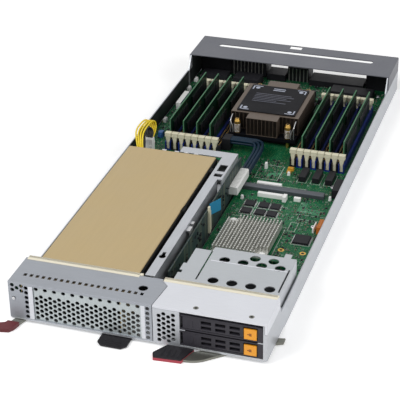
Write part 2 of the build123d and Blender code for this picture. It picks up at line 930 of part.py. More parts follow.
def drive_roof():
    """Pierced sheet on the drive bay's walls, with a stepped plate at its left and a tab behind."""
    left = bay_left - cover_sheet
    right = bay_right + cover_sheet
    roof_left = seam_x + roof_left_inset
    notch_end = roof_notch_depth + roof_notch
    roof = make_face(Polyline([
        (roof_left, yf(roof_start)),
        (right, yf(roof_start)),
        (right, yf(bay_depth)),
        (left, yf(bay_depth)),
        (left - cover_sheet, yf(bay_depth - roof_corner)),
        (roof_left + roof_step, yf(bay_depth - roof_corner)),
        (roof_left + roof_step, yf(roof_step_depth)),
        (roof_left, yf(roof_step_depth)),
        (roof_left, yf(notch_end)),
        (roof_left + roof_step, yf(notch_end)),
        (roof_left + roof_step, yf(roof_notch_depth)),
        (roof_left, yf(roof_notch_depth)),
    ], close=True))
    tab_right = right - roof_tab_inset
    roof += area(tab_right - roof_tab_width, tab_right, yf(bay_depth), yf(bay_depth + roof_tab_length))
    bay_middle = (bay_left + bay_right) / 2
    hole_rows = ((roof_hole_front, 4), (roof_hole_back, 4))
    for depth, count in hole_rows:
        for index in range(count):
            hole_x = bay_middle + roof_hole_shift + (index - (count - 1) / 2) * roof_hole_pitch
            roof -= Pos(hole_x, yf(depth)) * RegularPolygon(roof_hole_radius, roof_hole_sides)
    for index in range(2):
        hole_x = bay_middle + roof_hole_shift + index * roof_hole_pitch
        roof -= Pos(hole_x, yf(roof_hole_last)) * RegularPolygon(roof_hole_radius, roof_hole_sides)
    slot_start = yf(roof_start + roof_slot_inset)
    roof -= area(left - roof_slot_width, left, slot_start, yf(bay_depth - roof_corner))
    roof -= area(bay_right - roof_slot_width, bay_right, slot_start, yf(roof_hole_back))
    return sheet_z(roof, bay_ceiling, bay_top)


def drive_cover():
    """Bright cover over the front of the drive cage: flange, front lip, right skirt, gasket lip."""
    right = half_width
    under = blade_height - cover_sheet
    flange = seam_line(seam_gap) + [(right, yf(flange_depth)), (right, yf(0))]
    cover = prism_z(flange, under, blade_height)
    lip_bottom = blade_height - front_lip_height
    cover += block(seam_x + seam_gap, right, yf(0), yf(cover_sheet), lip_bottom, blade_height)
    cover += block(right - cover_sheet, right, yf(0), yf(flange_depth), skirt_bottom, blade_height)
    corner_left = bay_right + cover_sheet + joint_gap
    cover += block(corner_left, right, yf(0), yf(cover_sheet), skirt_bottom, blade_height)
    lip_left = seam_x + seam_gap + seam_bulge - seam_return
    return cover + gasket_lip(lip_left, right - cover_sheet)


def backplane():
    """Upright board behind the drives, with one socket for each drive."""
    end = yf(bay_depth - joint_gap)
    start = end - backplane_sheet
    low = bay_floor
    board = block(bay_left, bay_right, start, end, low, low + backplane_height)
    middle = (bay_left + bay_right) / 2
    reach = start - yf(carrier_set_back + carrier_front + carrier_front_sheet + drive_length) - running_gap
    for z in (lower_carrier_z, upper_carrier_z):
        z0 = z + carrier_sheet + (drive_height - drive_plug_height) / 2
        half = drive_plug_width / 2
        board += block(middle - half, middle + half, start - reach, start, z0, z0 + drive_plug_height)
    return board


def carrier(z):
    """Drive carrier: floor, two rails, front plate with rims, hinge pin and fixed right end."""
    left = bay_left + carrier_side_gap
    right = left + carrier_width
    top = z + carrier_height
    front = yf(carrier_set_back)
    plate = front + carrier_front
    back = plate + carrier_front_sheet
    tail = yf(carrier_length)
    body = block(left, right, plate, back, z, top)
    body += block(left, left + carrier_rail, back, tail, z, top)
    body += block(right - carrier_rail, right, back, tail, z, top)
    body += block(left, right, back, tail, z, z + carrier_sheet)
    body += block(left, right, front, plate, z, z + carrier_rim)
    body += block(left, right, front, plate, top - carrier_rim, top)
    end_x = left + handle_pin_inset + handle_length + button_gap + button_width + button_gap
    body += block(end_x, right, front, plate, z + carrier_rim, top - carrier_rim)
    pin_y = front + carrier_front / 2
    body += post(left + handle_pin_inset, pin_y, z + carrier_rim, top - carrier_rim, handle_pin_radius)
    return body


def drive(z):
    """A small drive lying in its carrier."""
    middle = (bay_left + bay_right) / 2
    start = yf(carrier_set_back + carrier_front + carrier_front_sheet)
    low = z + carrier_sheet
    half = drive_width / 2
    return block(middle - half, middle + half, start, start + drive_length, low, low + drive_height)


def handle(z):
    """Slotted carrier handle, rounded about its hinge pin."""
    pin_x = bay_left + carrier_side_gap + handle_pin_inset
    front = yf(carrier_set_back)
    pin_y = front + carrier_front / 2
    radius = carrier_front / 2 - running_gap
    low = z + carrier_rim + joint_gap
    high = z + carrier_height - carrier_rim - joint_gap
    plan = Pos(pin_x, pin_y) * Circle(radius)
    plan += area(pin_x, pin_x + handle_length, pin_y - radius, pin_y + radius)
    plan -= Pos(pin_x, pin_y) * Circle(handle_pin_radius + pivot_fit)
    lever = sheet_z(plan, low, high)
    for column in range(handle_slot_columns):
        for row in range(handle_slot_rows):
            x0 = pin_x + (handle_slot_first_share + column * handle_slot_pitch_share) * handle_length
            z0 = low + handle_slot_rise + row * handle_slot_step - handle_slot_height / 2
            slot = area(x0, x0 + handle_slot_width_share * handle_length, z0, z0 + handle_slot_height)
            lever -= sheet_y(slot, pin_y - carrier_front, pin_y + carrier_front)
    return lever


def release_button(z):
    """Orange button at the right of a handle."""
    x0 = bay_left + carrier_side_gap + handle_pin_inset + handle_length + button_gap
    front = yf(-button_proud)
    low = z + carrier_rim + joint_gap
    cap = block(x0, x0 + button_width, front, front + button_sheet, low, low + button_height)
    return chamfer(cap.edges().group_by(Axis.Y)[0], button_proud)


def lever_pivot(side):
    """X and Y of the pivot on the left (side -1) or right (side 1)."""
    return side * (half_width - lever_pivot_inset), yf(lever_pivot_depth)


def about_pivot(side, offsets):
    """Points given as offsets from a lever's pivot."""
    x, y = lever_pivot(side)
    return [(x + dx, y + dy) for dx, dy in offsets]


def lever_arm(side, bends, width, bend_radius):
    """Flat ejector lever: a bent arm, a boss round the pivot and a hook for the slot's side."""
    route = FilletPolyline(lever_pivot(side), *about_pivot(side, bends), radius=bend_radius)
    plan = trace(route, line_width=width)
    plan += Pos(*lever_pivot(side)) * Circle(lever_boss_radius)
    tip = lever_pivot_inset + hook_reach
    hook = [
        (side * hook_root, -hook_root),
        (side * hook_neck, hook_root),
        (side * tip, hook_tip_start),
        (side * tip, hook_tip_start + hook_width),
        (side * hook_neck, hook_tip_start + hook_root),
        (-side * hook_root, hook_width),
    ]
    plan += make_face(Polyline(about_pivot(side, hook), close=True))
    plan -= Pos(*lever_pivot(side)) * Circle(pivot_radius + pivot_fit)
    return sheet_z(plan, lever_room, lever_room + lever_sheet)


def lever_grip(side, outline, arm):
    """Moulded grip round the end of a lever's arm."""
    return prism_z(about_pivot(side, outline), grip_floor, grip_top) - arm


def lever_pivots():
    """Shoulder screws below the front floor, one for each lever."""
    pins = []
    for side in (-1, 1):
        x, y = lever_pivot(side)
        head_low = lever_room - pivot_head_height - pivot_fit
        pin = post(x, y, head_low + pivot_head_height, recess_height, pivot_radius)
        pin += hex_post(x, y, head_low, head_low + pivot_head_height, pivot_head_across)
        pins.append(pin)
    return pins


def service_tab():
    """Pull-out tag with cut front corners, held in guides below the front floor."""
    x1 = tab_x + tab_width
    cut = tab_chamfer
    outline = [
        (tab_x, yf(tab_tail)),
        (tab_x, yf(-tab_front + cut)),
        (tab_x + cut, yf(-tab_front)),
        (x1 - cut, yf(-tab_front)),
        (x1, yf(-tab_front + cut)),
        (x1, yf(tab_tail)),
    ]
    return prism_z(outline, tab_z, tab_z + tab_sheet)


def power_button():
    """Small round button in the left front strip."""
    return stub_y(power_button_x, power_z, yf(-power_proud), yf(power_length - power_proud), power_radius)


def switch_board():
    """Small board behind the power button, on two posts from the cage's front."""
    x0 = -half_width + cover_sheet + joint_gap
    z0 = power_z - switch_board_height / 2
    depth = yf(switch_board_depth)
    outline = area(x0, x0 + switch_board_width, z0, z0 + switch_board_height)
    board = sheet_y(outline, depth, depth + switch_board_sheet)
    start = yf(power_length - power_proud + switch_gap)
    half = switch_size / 2
    board += block(power_button_x - half, power_button_x + half, start, depth, power_z - half, power_z + half)
    post_x = x0 + switch_board_width - switch_post_inset
    for post_z in (z0 + switch_post_inset, z0 + switch_board_height / 3):
        hexagon = Pos(post_x, post_z) * RegularPolygon(switch_post_across / sqrt(3), 6)
        board += sheet_y(hexagon, yf(cover_sheet), depth)
    return board


def main_board():
    """L-shaped main board: a strip behind the drives and the full width behind the card."""
    side = inner_half - board_side_gap
    outline = [
        (board_strip_left, yf(board_strip_start)),
        (side, yf(board_strip_start)),
        (side, yf(blade_length - board_rear_gap)),
        (-side, yf(blade_length - board_rear_gap)),
        (-side, yf(board_step)),
        (board_strip_left, yf(board_step)),
    ]
    return prism_z(outline, board_z, board_top)


def fixing_points():
    """Where the main board is screwed down."""
    side = inner_half - board_side_gap - 2 * standoff_across
    left = -inner_half + board_side_gap + standoff_across
    strip = board_strip_left + standoff_across
    rear = blade_length - board_rear_gap - standoff_across
    return [
        (strip, yf(board_strip_start + standoff_across)),
        (side, yf(board_strip_start + standoff_across)),
        (side, yf(board_strip_start + middle_fixing_share * strip_length)),
        (left, yf(board_step + standoff_across)),
        (side, yf(board_step + standoff_across)),
        (left, yf(rear - rear_fixing_gap)),
        (side, yf(rear - rear_fixing_gap)),
    ]


def standoffs():
    """Hexagonal standoffs between the tray and the main board."""
    return [hex_post(x, y, tray_sheet, board_z, standoff_across) for x, y in fixing_points()]


def stiffener():
    """Grey bar with rounded top edges, across the board's front strip."""
    x0 = board_strip_left + stiffener_offset
    start = yf(stiffener_start)
    end = start + stiffener_width
    bar = block(x0, x0 + stiffener_length, start, end, board_top, board_top + stiffener_height)
    return fillet(bar.edges().filter_by(Axis.X).group_by(Axis.Z)[-1], stiffener_height / 3)


def socket_and_processor():
    """Processor socket frame and the processor on it."""
    y = yf(cooler_depth)
    top = board_top + socket_height
    frame = Box(socket_width, socket_length, socket_height)
    chip = Box(processor_width, processor_length, processor_height)
    frame_z = top - socket_height / 2
    chip_z = top + processor_height / 2
    return Pos(cooler_x, y, frame_z) * frame, Pos(cooler_x, y, chip_z) * chip


def cooler_base():
    """Cooler base plate with four screw holes."""
    y = yf(cooler_depth)
    plan = Pos(cooler_x, y) * Rectangle(cooler_width, cooler_length)
    for x, screw_y in cooler_screw_points():
        hole_across = cooler_stud_across + 2 * joint_gap
        plan -= Pos(x, screw_y) * RegularPolygon(hole_across / sqrt(3), 6)
    return sheet_z(plan, cooler_base_z, cooler_fin_z)


def cooler_screw_points():
    """Centres of the cooler's four sprung screws."""
    y = yf(cooler_depth)
    half_x = cooler_screw_x / 2
    half_y = cooler_screw_y / 2
    return [(cooler_x + sx * half_x, y + sy * half_y) for sx in (-1, 1) for sy in (-1, 1)]


def fin_stack(width, y0, y1):
    """Thin upright fins closed by a skin above and below, open along Y."""
    count = int(width / cooler_fin_pitch)
    left = cooler_x - width / 2
    pitch = (width - cooler_fin_sheet) / count
    stack = block(left, left + width, y0, y1, cooler_fin_z, cooler_top)
    for index in range(count):
        x0 = left + cooler_fin_sheet + index * pitch
        x1 = x0 + pitch - cooler_fin_sheet
        stack -= block(x0, x1, y0, y1, cooler_fin_z + cooler_skin, cooler_top - cooler_skin)
    return stack


def cooler_fins():
    """Fin stack of the cooler: a wide middle and a narrow nose between the screws at each end."""
    y = yf(cooler_depth)
    half = cooler_fin_depth / 2
    nose = cooler_length / 2 - joint_gap
    middle = fin_stack(cooler_width, y - half, y + half)
    front = fin_stack(cooler_nose_width, y - nose, y - half)
    back = fin_stack(cooler_nose_width, y + half, y + nose)
    return middle + front + back


def cooler_plate():
    """Black plate on the cooler's fins."""
    plan = Pos(cooler_x, yf(cooler_depth)) * RectangleRounded(plate_width, plate_depth, plate_sheet * 2)
    return sheet_z(plan, cooler_top, cooler_top + plate_sheet)


def cooler_screws():
    """Sprung screws at the cooler's corners: a stud to the main board, a barrel and a tapered tip."""
    screws = []
    barrel_top = cooler_fin_z + cooler_spring_height
    tip_taper = degrees(atan2(cooler_spring_radius - cooler_tip_radius, cooler_tip_height))
    for x, y in cooler_screw_points():
        outline = Pos(x, y) * RegularPolygon(cooler_spring_radius, barrel_sides)
        screw = hex_post(x, y, board_top, cooler_fin_z, cooler_stud_across)
        screw += sheet_z(outline, cooler_fin_z, barrel_top)
        screw += extrude(Pos(0, 0, barrel_top) * outline, cooler_tip_height, taper=tip_taper)
        screws.append(screw)
    return screws


def bank_lines():
    """X of the sockets of the left and the right bank, left to right."""
    steps = [slot_width / 2 + index * bank_pitch for index in range(2 * bank_pairs)]
    return [[edge + step for step in steps] for edge in (left_bank_x, right_bank_x)]


def memory_socket():
    """One memory socket at x = 0: grooved body and a slotted tower at each end."""
    y = yf(bank_depth)
    half = slot_length / 2
    outer = half + tower_length
    body_top = board_top + dimm_slot_height
    tower_top = board_top + tower_height
    side = [
        (y - outer, board_top),
        (y + outer, board_top),
        (y + outer, tower_top),
        (y + half, tower_top),
        (y + half, body_top),
        (y - half, body_top),
        (y - half, tower_top),
        (y - outer, tower_top),
    ]
    body = prism_x(side, -slot_width / 2, slot_width / 2)
    groove = dimm_sheet / 2 + dimm_fit
    reach = dimm_length / 2 + dimm_fit
    body -= block(-groove, groove, y - reach, y + reach, board_top + dimm_seat, tower_top)
    channel = tower_channel / 2
    for start in (y - outer, y + half):
        body -= block(-channel, channel, start, start + tower_length, board_top + latch_bottom / 2, tower_top)
    return body


def memory_module():
    """One memory module at x = 0: an upright board with two rows of chips on both faces."""
    y = yf(bank_depth)
    half = dimm_length / 2
    low = board_top + dimm_seat
    module = block(-dimm_sheet / 2, dimm_sheet / 2, y - half, y + half, low, low + dimm_height)
    thick = dimm_sheet / 2 + dimm_chip_sheet
    z0 = low + dimm_chip_rise
    for place in (y - half / 2, y + half / 2):
        y0 = place - dimm_chip_length / 2
        module += block(-thick, thick, y0, y0 + dimm_chip_length, z0, z0 + dimm_chip_height)
    return module


def latch(end):
    """One cream latch at x = 0, at the front (end -1) or rear (end 1) of a socket."""
    y = yf(bank_depth) + end * (slot_length / 2 + tower_length / 2)
    low = board_top + latch_bottom
    waist = board_top + latch_waist
    top = board_top + latch_top
    stem = latch_stem_length / 2
    front_view = [
        (-latch_stem_width / 2, low),
        (latch_stem_width / 2, low),
        (latch_stem_width / 2, waist),
        (latch_head_width / 2, top),
        (-latch_head_width / 2, top),
        (-latch_stem_width / 2, waist),
    ]
    side_view = [
        (y + end * stem, low),
        (y - end * stem, low),
        (y - end * stem, waist),
        (y - end * latch_head_reach, waist + latch_head_reach),
        (y - end * latch_head_reach, top),
        (y + end * stem, top),
    ]
    width = latch_head_width
    tall = prism_y(front_view, y - width, y + width)
    return tall & prism_x(side_view, -width, width)


def chipset_heatsink():
    """Silver chipset heatsink: a base with fins cut across into short blades."""
    x0 = chipset_left
    x1 = x0 + chipset_width
    y0 = yf(chipset_depth)
    y1 = y0 + chipset_length
    base_z = board_top + chipset_chip_height
    base_top = base_z + chipset_base
    fin_top = board_top + chipset_height
    sink = prism_y(comb(x0, x1, chipset_fin_count, chipset_fin_sheet, base_z, base_top, fin_top), y0, y1)
    pitch = chipset_length / (chipset_cut_count + 1)
    for index in range(chipset_cut_count):
        cut_y = y0 + (index + 1) * pitch
        half = chipset_cut_width / 2
        sink -= block(x0, x1, cut_y - half, cut_y + half, base_top, fin_top)
    corner = push_pin_inset + push_pin_width / 2 + joint_gap
    for x, y in chipset_pin_points():
        sx = x0 if x < (x0 + x1) / 2 else x1 - corner
        sy = y0 if y < (y0 + y1) / 2 else y1 - corner
        sink -= block(sx, sx + corner, sy, sy + corner, base_top, fin_top)
        sink -= hex_post(x, y, base_z, base_top, push_pin_shank + 2 * joint_gap)
    return sink


def chipset_pin_points():
    """Centres of the two push pins, on a diagonal of the heatsink."""
    y0 = yf(chipset_depth)
    near = (chipset_left + push_pin_inset, y0 + chipset_length - push_pin_inset)
    far = (chipset_left + chipset_width - push_pin_inset, y0 + push_pin_inset)
    return [near, far]


def push_pins():
    """Push pins that hold the chipset heatsink to the board."""
    base_top = board_top + chipset_chip_height + chipset_base
    pins = []
    for x, y in chipset_pin_points():
        cap = Pos(x, y) * Rectangle(push_pin_width, push_pin_width)
        pin = hex_post(x, y, board_top, base_top, push_pin_shank)
        pins.append(pin + sheet_z(cap, base_top, base_top + push_pin_rise))
    return pins


def board_box(x, depth, width, length, height):
    """A component on the main board, by its centre."""
    y = yf(depth)
    return block(x - width / 2, x + width / 2, y - length / 2, y + length / 2, board_top, board_top + height)


def strip_depth(share):
    """Depth of a point at a share of the board's front strip."""
    return board_strip_start + share * strip_length


def board_chips():
    """Black chips on the main board, with the chipset under its heatsink."""
    middle = chipset_left + chipset_width / 2
    depth = chipset_depth + chipset_length / 2
    chips = [board_box(middle, depth, chipset_chip, chipset_chip, chipset_chip_height)]
    for inset, share, size, height in chip_places:
        chips.append(board_box(board_strip_left + inset, strip_depth(share), size, size, height))
    corner_x = strip_right - corner_chip_inset
    corner_depth = strip_depth(corner_chip_share)
    chips.append(board_box(corner_x, corner_depth, corner_chip_size, corner_chip_size, corner_chip_height))
    return chips


def board_inductors():
    """Black parts: inductors ahead of the right bank, the connector by the wall, the cable's header."""
    depth = bank_start - inductor_gap
    boxes = [board_box(right_bank_x + inset, depth, *inductor_size) for inset in inductor_insets]
    wall_depth = board_step - wall_connector_gap
    boxes.append(board_box(strip_right - wall_connector_inset, wall_depth, *wall_connector_size))
    header_depth = cable_header_start + cable_header_length / 2
    header_size = (cable_header_width, cable_header_length, cable_header_height)
    boxes.append(board_box(cable_header_x, header_depth, *header_size))
    return boxes


def board_connectors():
    """White connectors on the main board, with the header of the card's lead."""
    boxes = []
    for inset, shift, *size in connector_places:
        boxes.append(board_box(board_strip_left + inset, stiffener_start + shift, *size))
    room = left_bank_x + inner_half
    side_size = (side_connector_share * room, side_connector_length, side_connector_height)
    side_x = side_connector_place * room - inner_half
    boxes.append(board_box(side_x, bank_depth + side_connector_shift, *side_size))
    lead_depth = header_start + header_length / 2
    boxes.append(board_box(lead_x, lead_depth, lead_plug_width, header_length, header_height))
    return boxes


def midplane_connectors():
    """Connector blocks at the rear edge, which plug into the enclosure."""
    start = yf(blade_length - midplane_length)
    blocks = []
    for middle, share, height in midplane_blocks:
        x = middle * half_width
        width = share * half_width
        body = block(x - width / 2, x + width / 2, start, yf(blade_length), board_top, board_top + height)
        well = block(
            x - width / 2 + midplane_wall,
            x + width / 2 - midplane_wall,
            yf(blade_length - midplane_recess),
            yf(blade_length),
            board_top + midplane_wall,
            board_top + height - midplane_wall,
        )
        blocks.append(body - well)
    return blocks


def lead_plug():
    """Power plug on the card's tail."""
    x0 = card_left + lead_plug_inset
    y0 = yf(card_rear)
    top = lead_plug_z + lead_plug_height
    return block(x0, x0 + lead_plug_width, y0, y0 + lead_plug_length, lead_plug_z, top)


def lead_wires(inset):
    """A flat band of wires that loops from the card's plug up and down into the header."""
    plug_y = yf(card_rear + lead_plug_length)
    start_z = lead_plug_z + lead_plug_height - lead_band - lead_nest * inset
    end_y = yf(header_start + header_length - lead_band - inset)
    shoulder_y = plug_y + 2 * lead_straight + inset
    route = FilletPolyline(
        (lead_x, plug_y, start_z),
        (lead_x, plug_y + lead_straight + inset, start_z),
        (lead_x, shoulder_y, lead_crest - lead_shoulder - inset),
        (lead_x, end_y, lead_crest - inset),
        (lead_x, end_y, board_top + header_height),
        radius=lead_bends,
    )
    section = Plane(route @ 0, x_dir=(1, 0, 0), z_dir=route % 0) * Rectangle(lead_band_width, lead_band)
    return sweep(section, path=route)


os.makedirs("parts", exist_ok=True)

save("base_tray", base_tray())
save("rear_cover", rear_cover())
save("card_cage", card_cage())
save("card_panel", card_panel())
save("card_gasket", gasket(-half_width + 2 * cover_sheet, rail_left))
lip_left = seam_x + seam_gap + seam_bulge - seam_return
save("drive_gasket", gasket(lip_left, half_width - 2 * cover_sheet))
save("card_shroud", card_shroud())
save("card_board", card_board())
save("card_heatsink", card_heatsink())
save("riser_bracket", riser_bracket())
save("riser_socket", riser_socket())
save("riser_card", riser_card())
save("riser_plug", riser_plug())
save("riser_cable", *riser_cable())
save("pull_tab", pull_tab())
save("drive_cage", drive_cage())
save("drive_roof", drive_roof())
save("drive_cover", drive_cover())
save("drive_backplane", backplane())
for level, level_z in (("lower", lower_carrier_z), ("upper", upper_carrier_z)):
    save(f"{level}_carrier", carrier(level_z))
    save(f"{level}_drive", drive(level_z))
    save(f"{level}_handle", handle(level_z))
    save(f"{level}_button", release_button(level_z))

right_arm = lever_arm(1, right_arm_bends, right_arm_width, right_arm_radius)
left_arm = lever_arm(-1, left_arm_bends, left_arm_width, left_arm_radius)
save("right_lever_arm", right_arm)
save("left_lever_arm", left_arm)
save("right_lever_grip", lever_grip(1, right_grip_outline, right_arm))
save("left_lever_grip", lever_grip(-1, left_grip_outline, left_arm))
save("lever_pivots", *lever_pivots())
save("service_tab", service_tab())
save("power_button", power_button())
save("switch_board", switch_board())

save("main_board", main_board())
save("standoffs", *standoffs())
save("stiffener_bar", stiffener())
socket_frame, processor_chip = socket_and_processor()
save("processor_socket", socket_frame)
save("processor", processor_chip)
save("cooler_base", cooler_base())
save("cooler_fins", cooler_fins())
save("cooler_plate", cooler_plate())
save("cooler_screws", *cooler_screws())

banks = bank_lines()
empty_lines = banks[0][1::2] + banks[1][0::2]
filled_lines = banks[0][0::2] + banks[1][1::2]
save("empty_memory_sockets", *[Pos(x) * memory_socket() for x in empty_lines])
save("filled_memory_sockets", *[Pos(x) * memory_socket() for x in filled_lines])
save("memory_modules", *[Pos(x) * memory_module() for x in filled_lines])
for side_name, bank in zip(("left", "right"), banks):
    save(f"{side_name}_front_latches", *[Pos(x) * latch(-1) for x in bank])
    save(f"{side_name}_rear_latches", *[Pos(x) * latch(1) for x in bank])

save("chipset_heatsink", chipset_heatsink())
save("push_pins", *push_pins())
save("board_chips", *board_chips())
save("board_inductors", *board_inductors())
save("board_connectors", *board_connectors())
save("midplane_connectors", *midplane_connectors())
save("lead_plug", lead_plug())
save("yellow_wires", lead_wires(0))
save("black_wires", lead_wires(lead_band + lead_gap))
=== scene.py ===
import math
import random

import bmesh
import bpy
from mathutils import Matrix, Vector


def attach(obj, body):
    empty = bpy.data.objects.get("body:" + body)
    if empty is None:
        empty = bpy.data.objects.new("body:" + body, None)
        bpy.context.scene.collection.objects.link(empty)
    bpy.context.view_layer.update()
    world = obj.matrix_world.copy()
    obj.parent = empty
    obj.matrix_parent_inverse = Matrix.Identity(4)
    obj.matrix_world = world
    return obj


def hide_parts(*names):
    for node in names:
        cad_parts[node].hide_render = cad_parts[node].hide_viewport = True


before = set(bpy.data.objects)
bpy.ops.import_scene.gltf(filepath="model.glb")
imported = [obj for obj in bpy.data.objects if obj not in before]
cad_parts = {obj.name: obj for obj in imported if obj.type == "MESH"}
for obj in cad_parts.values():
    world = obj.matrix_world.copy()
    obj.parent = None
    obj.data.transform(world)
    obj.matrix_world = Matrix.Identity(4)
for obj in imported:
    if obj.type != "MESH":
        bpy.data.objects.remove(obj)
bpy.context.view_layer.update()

# Base tray: one pan of zinc-plated sheet steel, folded up at both sides and pressed to a step at
# the front. Low rivets along the walls fix the folded ears, and a black sheet over the inner face of
# the left wall is painted shade.
scene = bpy.context.scene
mm = 0.001


def paint(red, green, blue):
    """A colour as a paint chart gives it, turned to the linear values that a shader takes."""
    channels = []
    for value in (red, green, blue):
        share = value / 255
        channels.append(share / 12.92 if share <= 0.04045 else ((share + 0.055) / 1.055) ** 2.4)
    return (*channels, 1.0)


def fill(node, values):
    """Sets a node's inputs by their labels."""
    for label, value in values.items():
        node.inputs[label].default_value = value


def calculate(tree, operation, *values):
    """The result of one operation on sockets and plain numbers."""
    node = tree.nodes.new("ShaderNodeMath")
    node.operation = operation
    for socket, value in zip(node.inputs, values):
        if isinstance(value, bpy.types.NodeSocket):
            tree.links.new(value, socket)
        else:
            socket.default_value = value
    return node.outputs["Value"]


def rescale(tree, value, old_low, old_high, new_low, new_high):
    """A socket's value, carried from one range to another."""
    node = tree.nodes.new("ShaderNodeMapRange")
    tree.links.new(value, node.inputs["Value"])
    fill(node, {"From Min": old_low, "From Max": old_high, "To Min": new_low, "To Max": new_high})
    return node.outputs["Result"]


def add_noise(tree, place, scale, detail=2.0):
    """A cloudy pattern over a place."""
    node = tree.nodes.new("ShaderNodeTexNoise")
    fill(node, {"Scale": scale, "Detail": detail})
    tree.links.new(place, node.inputs["Vector"])
    return node.outputs["Fac"]


def make_finish(name, colour, spread=0.1, rough=0.42, metal=0.0, grain=900, relief=0.1, shine=0.5):
    """A finish whose colour drifts a little, with uneven gloss, a fine relief and softened edges."""
    drift_low, drift_high = 0.3, 0.7
    gloss_drift = 0.07
    edge_radius = 0.35 * mm
    relief_depth = 0.3 * mm
    even = (grain, grain, grain)
    finish = bpy.data.materials.new(name)
    finish.use_nodes = True
    tree = finish.node_tree
    nodes, link = tree.nodes, tree.links.new
    shader = nodes["Principled BSDF"]
    fill(shader, {"Metallic": metal, "Specular IOR Level": shine})
    place = nodes.new("ShaderNodeTexCoord")
    place.name = "place"
    stretch = nodes.new("ShaderNodeMapping")
    fill(stretch, {"Scale": grain if isinstance(grain, tuple) else even})
    link(place.outputs["Object"], stretch.inputs["Vector"])
    streaks = add_noise(tree, stretch.outputs["Vector"], 1.0, 6.0)
    clouds = add_noise(tree, place.outputs["Object"], 26.0, 3.0)
    both = calculate(tree, "MULTIPLY_ADD", streaks, 0.5, calculate(tree, "MULTIPLY", clouds, 0.5))
    tint = nodes.new("ShaderNodeValToRGB")
    tint.name = "tint"
    dark, pale = tint.color_ramp.elements
    for stop, position, strength in ((dark, drift_low, 1 - spread), (pale, drift_high, 1 + spread)):
        stop.position = position
        stop.color = (*[min(1.0, channel * strength) for channel in paint(*colour)[:3]], 1.0)
    link(both, tint.inputs["Fac"])
    link(tint.outputs["Color"], shader.inputs["Base Color"])
    gloss = rescale(tree, clouds, drift_low, drift_high, rough - gloss_drift, rough + gloss_drift)
    link(gloss, shader.inputs["Roughness"])
    edges = nodes.new("ShaderNodeBevel")
    edges.samples = 4
    fill(edges, {"Radius": edge_radius})
    bump = nodes.new("ShaderNodeBump")
    fill(bump, {"Strength": relief, "Distance": relief_depth})
    link(streaks, bump.inputs["Height"])
    link(edges.outputs["Normal"], bump.inputs["Normal"])
    link(bump.outputs["Normal"], shader.inputs["Normal"])
    return finish


def dress(finish, *names):
    """Gives a finish to CAD nodes."""
    for name in names:
        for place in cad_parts[name].material_slots:
            place.material = finish


def block(low, high, draft=0.0):
    """A block in mm, with its top drawn in by the draft on all four sides."""
    points = []
    for z, inset in ((low[2], 0.0), (high[2], draft)):
        x0, x1 = low[0] + inset, high[0] - inset
        y0, y1 = low[1] + inset, high[1] - inset
        points += [(x0, y0, z), (x1, y0, z), (x1, y1, z), (x0, y1, z)]
    faces = [(3, 2, 1, 0), (4, 5, 6, 7)]
    faces += [(side, (side + 1) % 4, 4 + (side + 1) % 4, 4 + side) for side in range(4)]
    return points, faces


def turned(profile, sides, middle=(0.0, 0.0)):
    """A turned shape in mm from (radius, height) pairs, from its foot round to its crown."""
    points = []
    for radius, height in profile:
        for step in range(sides):
            angle = 2 * math.pi * (step + 0.5) / sides
            x = middle[0] + radius * math.cos(angle)
            points.append((x, middle[1] + radius * math.sin(angle), height))
    faces = []
    for ring in range(len(profile) - 1):
        for step in range(sides):
            here = ring * sides + step
            ahead = ring * sides + (step + 1) % sides
            faces.append((here, ahead, ahead + sides, here + sides))
    crown = (len(profile) - 1) * sides
    faces += [tuple(range(sides - 1, -1, -1)), tuple(range(crown, crown + sides))]
    return points, faces


def stood_up(solid, side, reach, middle):
    """A copy of a flat solid, stood on a face that looks left or right at a reach from its middle."""
    points, faces = solid
    x, y, z = middle
    return [(x + side * (reach + pz), y + side * px, z + py) for px, py, pz in points], faces


def make_mesh(name, solids, finish):
    """One mesh in metres from solids in mm."""
    points, faces = [], []
    for solid_points, solid_faces in solids:
        first = len(points)
        points += [[value * mm for value in point] for point in solid_points]
        faces += [[first + corner for corner in face] for face in solid_faces]
    mesh = bpy.data.meshes.new(name)
    mesh.from_pydata(points, [], faces)
    mesh.materials.append(finish)
    return mesh


def mount(piece, body="chassis"):
    """Puts a finished piece in the scene, on the body that carries it."""
    scene.collection.objects.link(piece)
    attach(piece, body)
    return piece


def make_piece(name, solids, finish, body="chassis"):
    """A piece from solids in mm."""
    mount(bpy.data.objects.new(name, make_mesh(name, solids, finish)), body)


def new_tree(name, inputs):
    """A Geometry Nodes tree with named inputs, the sockets that bring them in, and a link call."""
    tree = bpy.data.node_groups.new(name, "GeometryNodeTree")
    for label, kind in inputs:
        tree.interface.new_socket(label, in_out="INPUT", socket_type=kind)
    tree.interface.new_socket("Pieces", in_out="OUTPUT", socket_type="NodeSocketGeometry")
    return tree, tree.nodes.new("NodeGroupInput").outputs, tree.links.new


def end_tree(tree, shape, finish):
    """Makes a tree's copies one mesh, gives it the finish and hands it out."""
    whole = tree.nodes.new("GeometryNodeRealizeInstances")
    coat = tree.nodes.new("GeometryNodeSetMaterial")
    result = tree.nodes.new("NodeGroupOutput")
    tree.links.new(shape, whole.inputs["Geometry"])
    tree.links.new(whole.outputs["Geometry"], coat.inputs["Geometry"])
    tree.links.new(finish, coat.inputs["Material"])
    tree.links.new(coat.outputs["Geometry"], result.inputs["Pieces"])


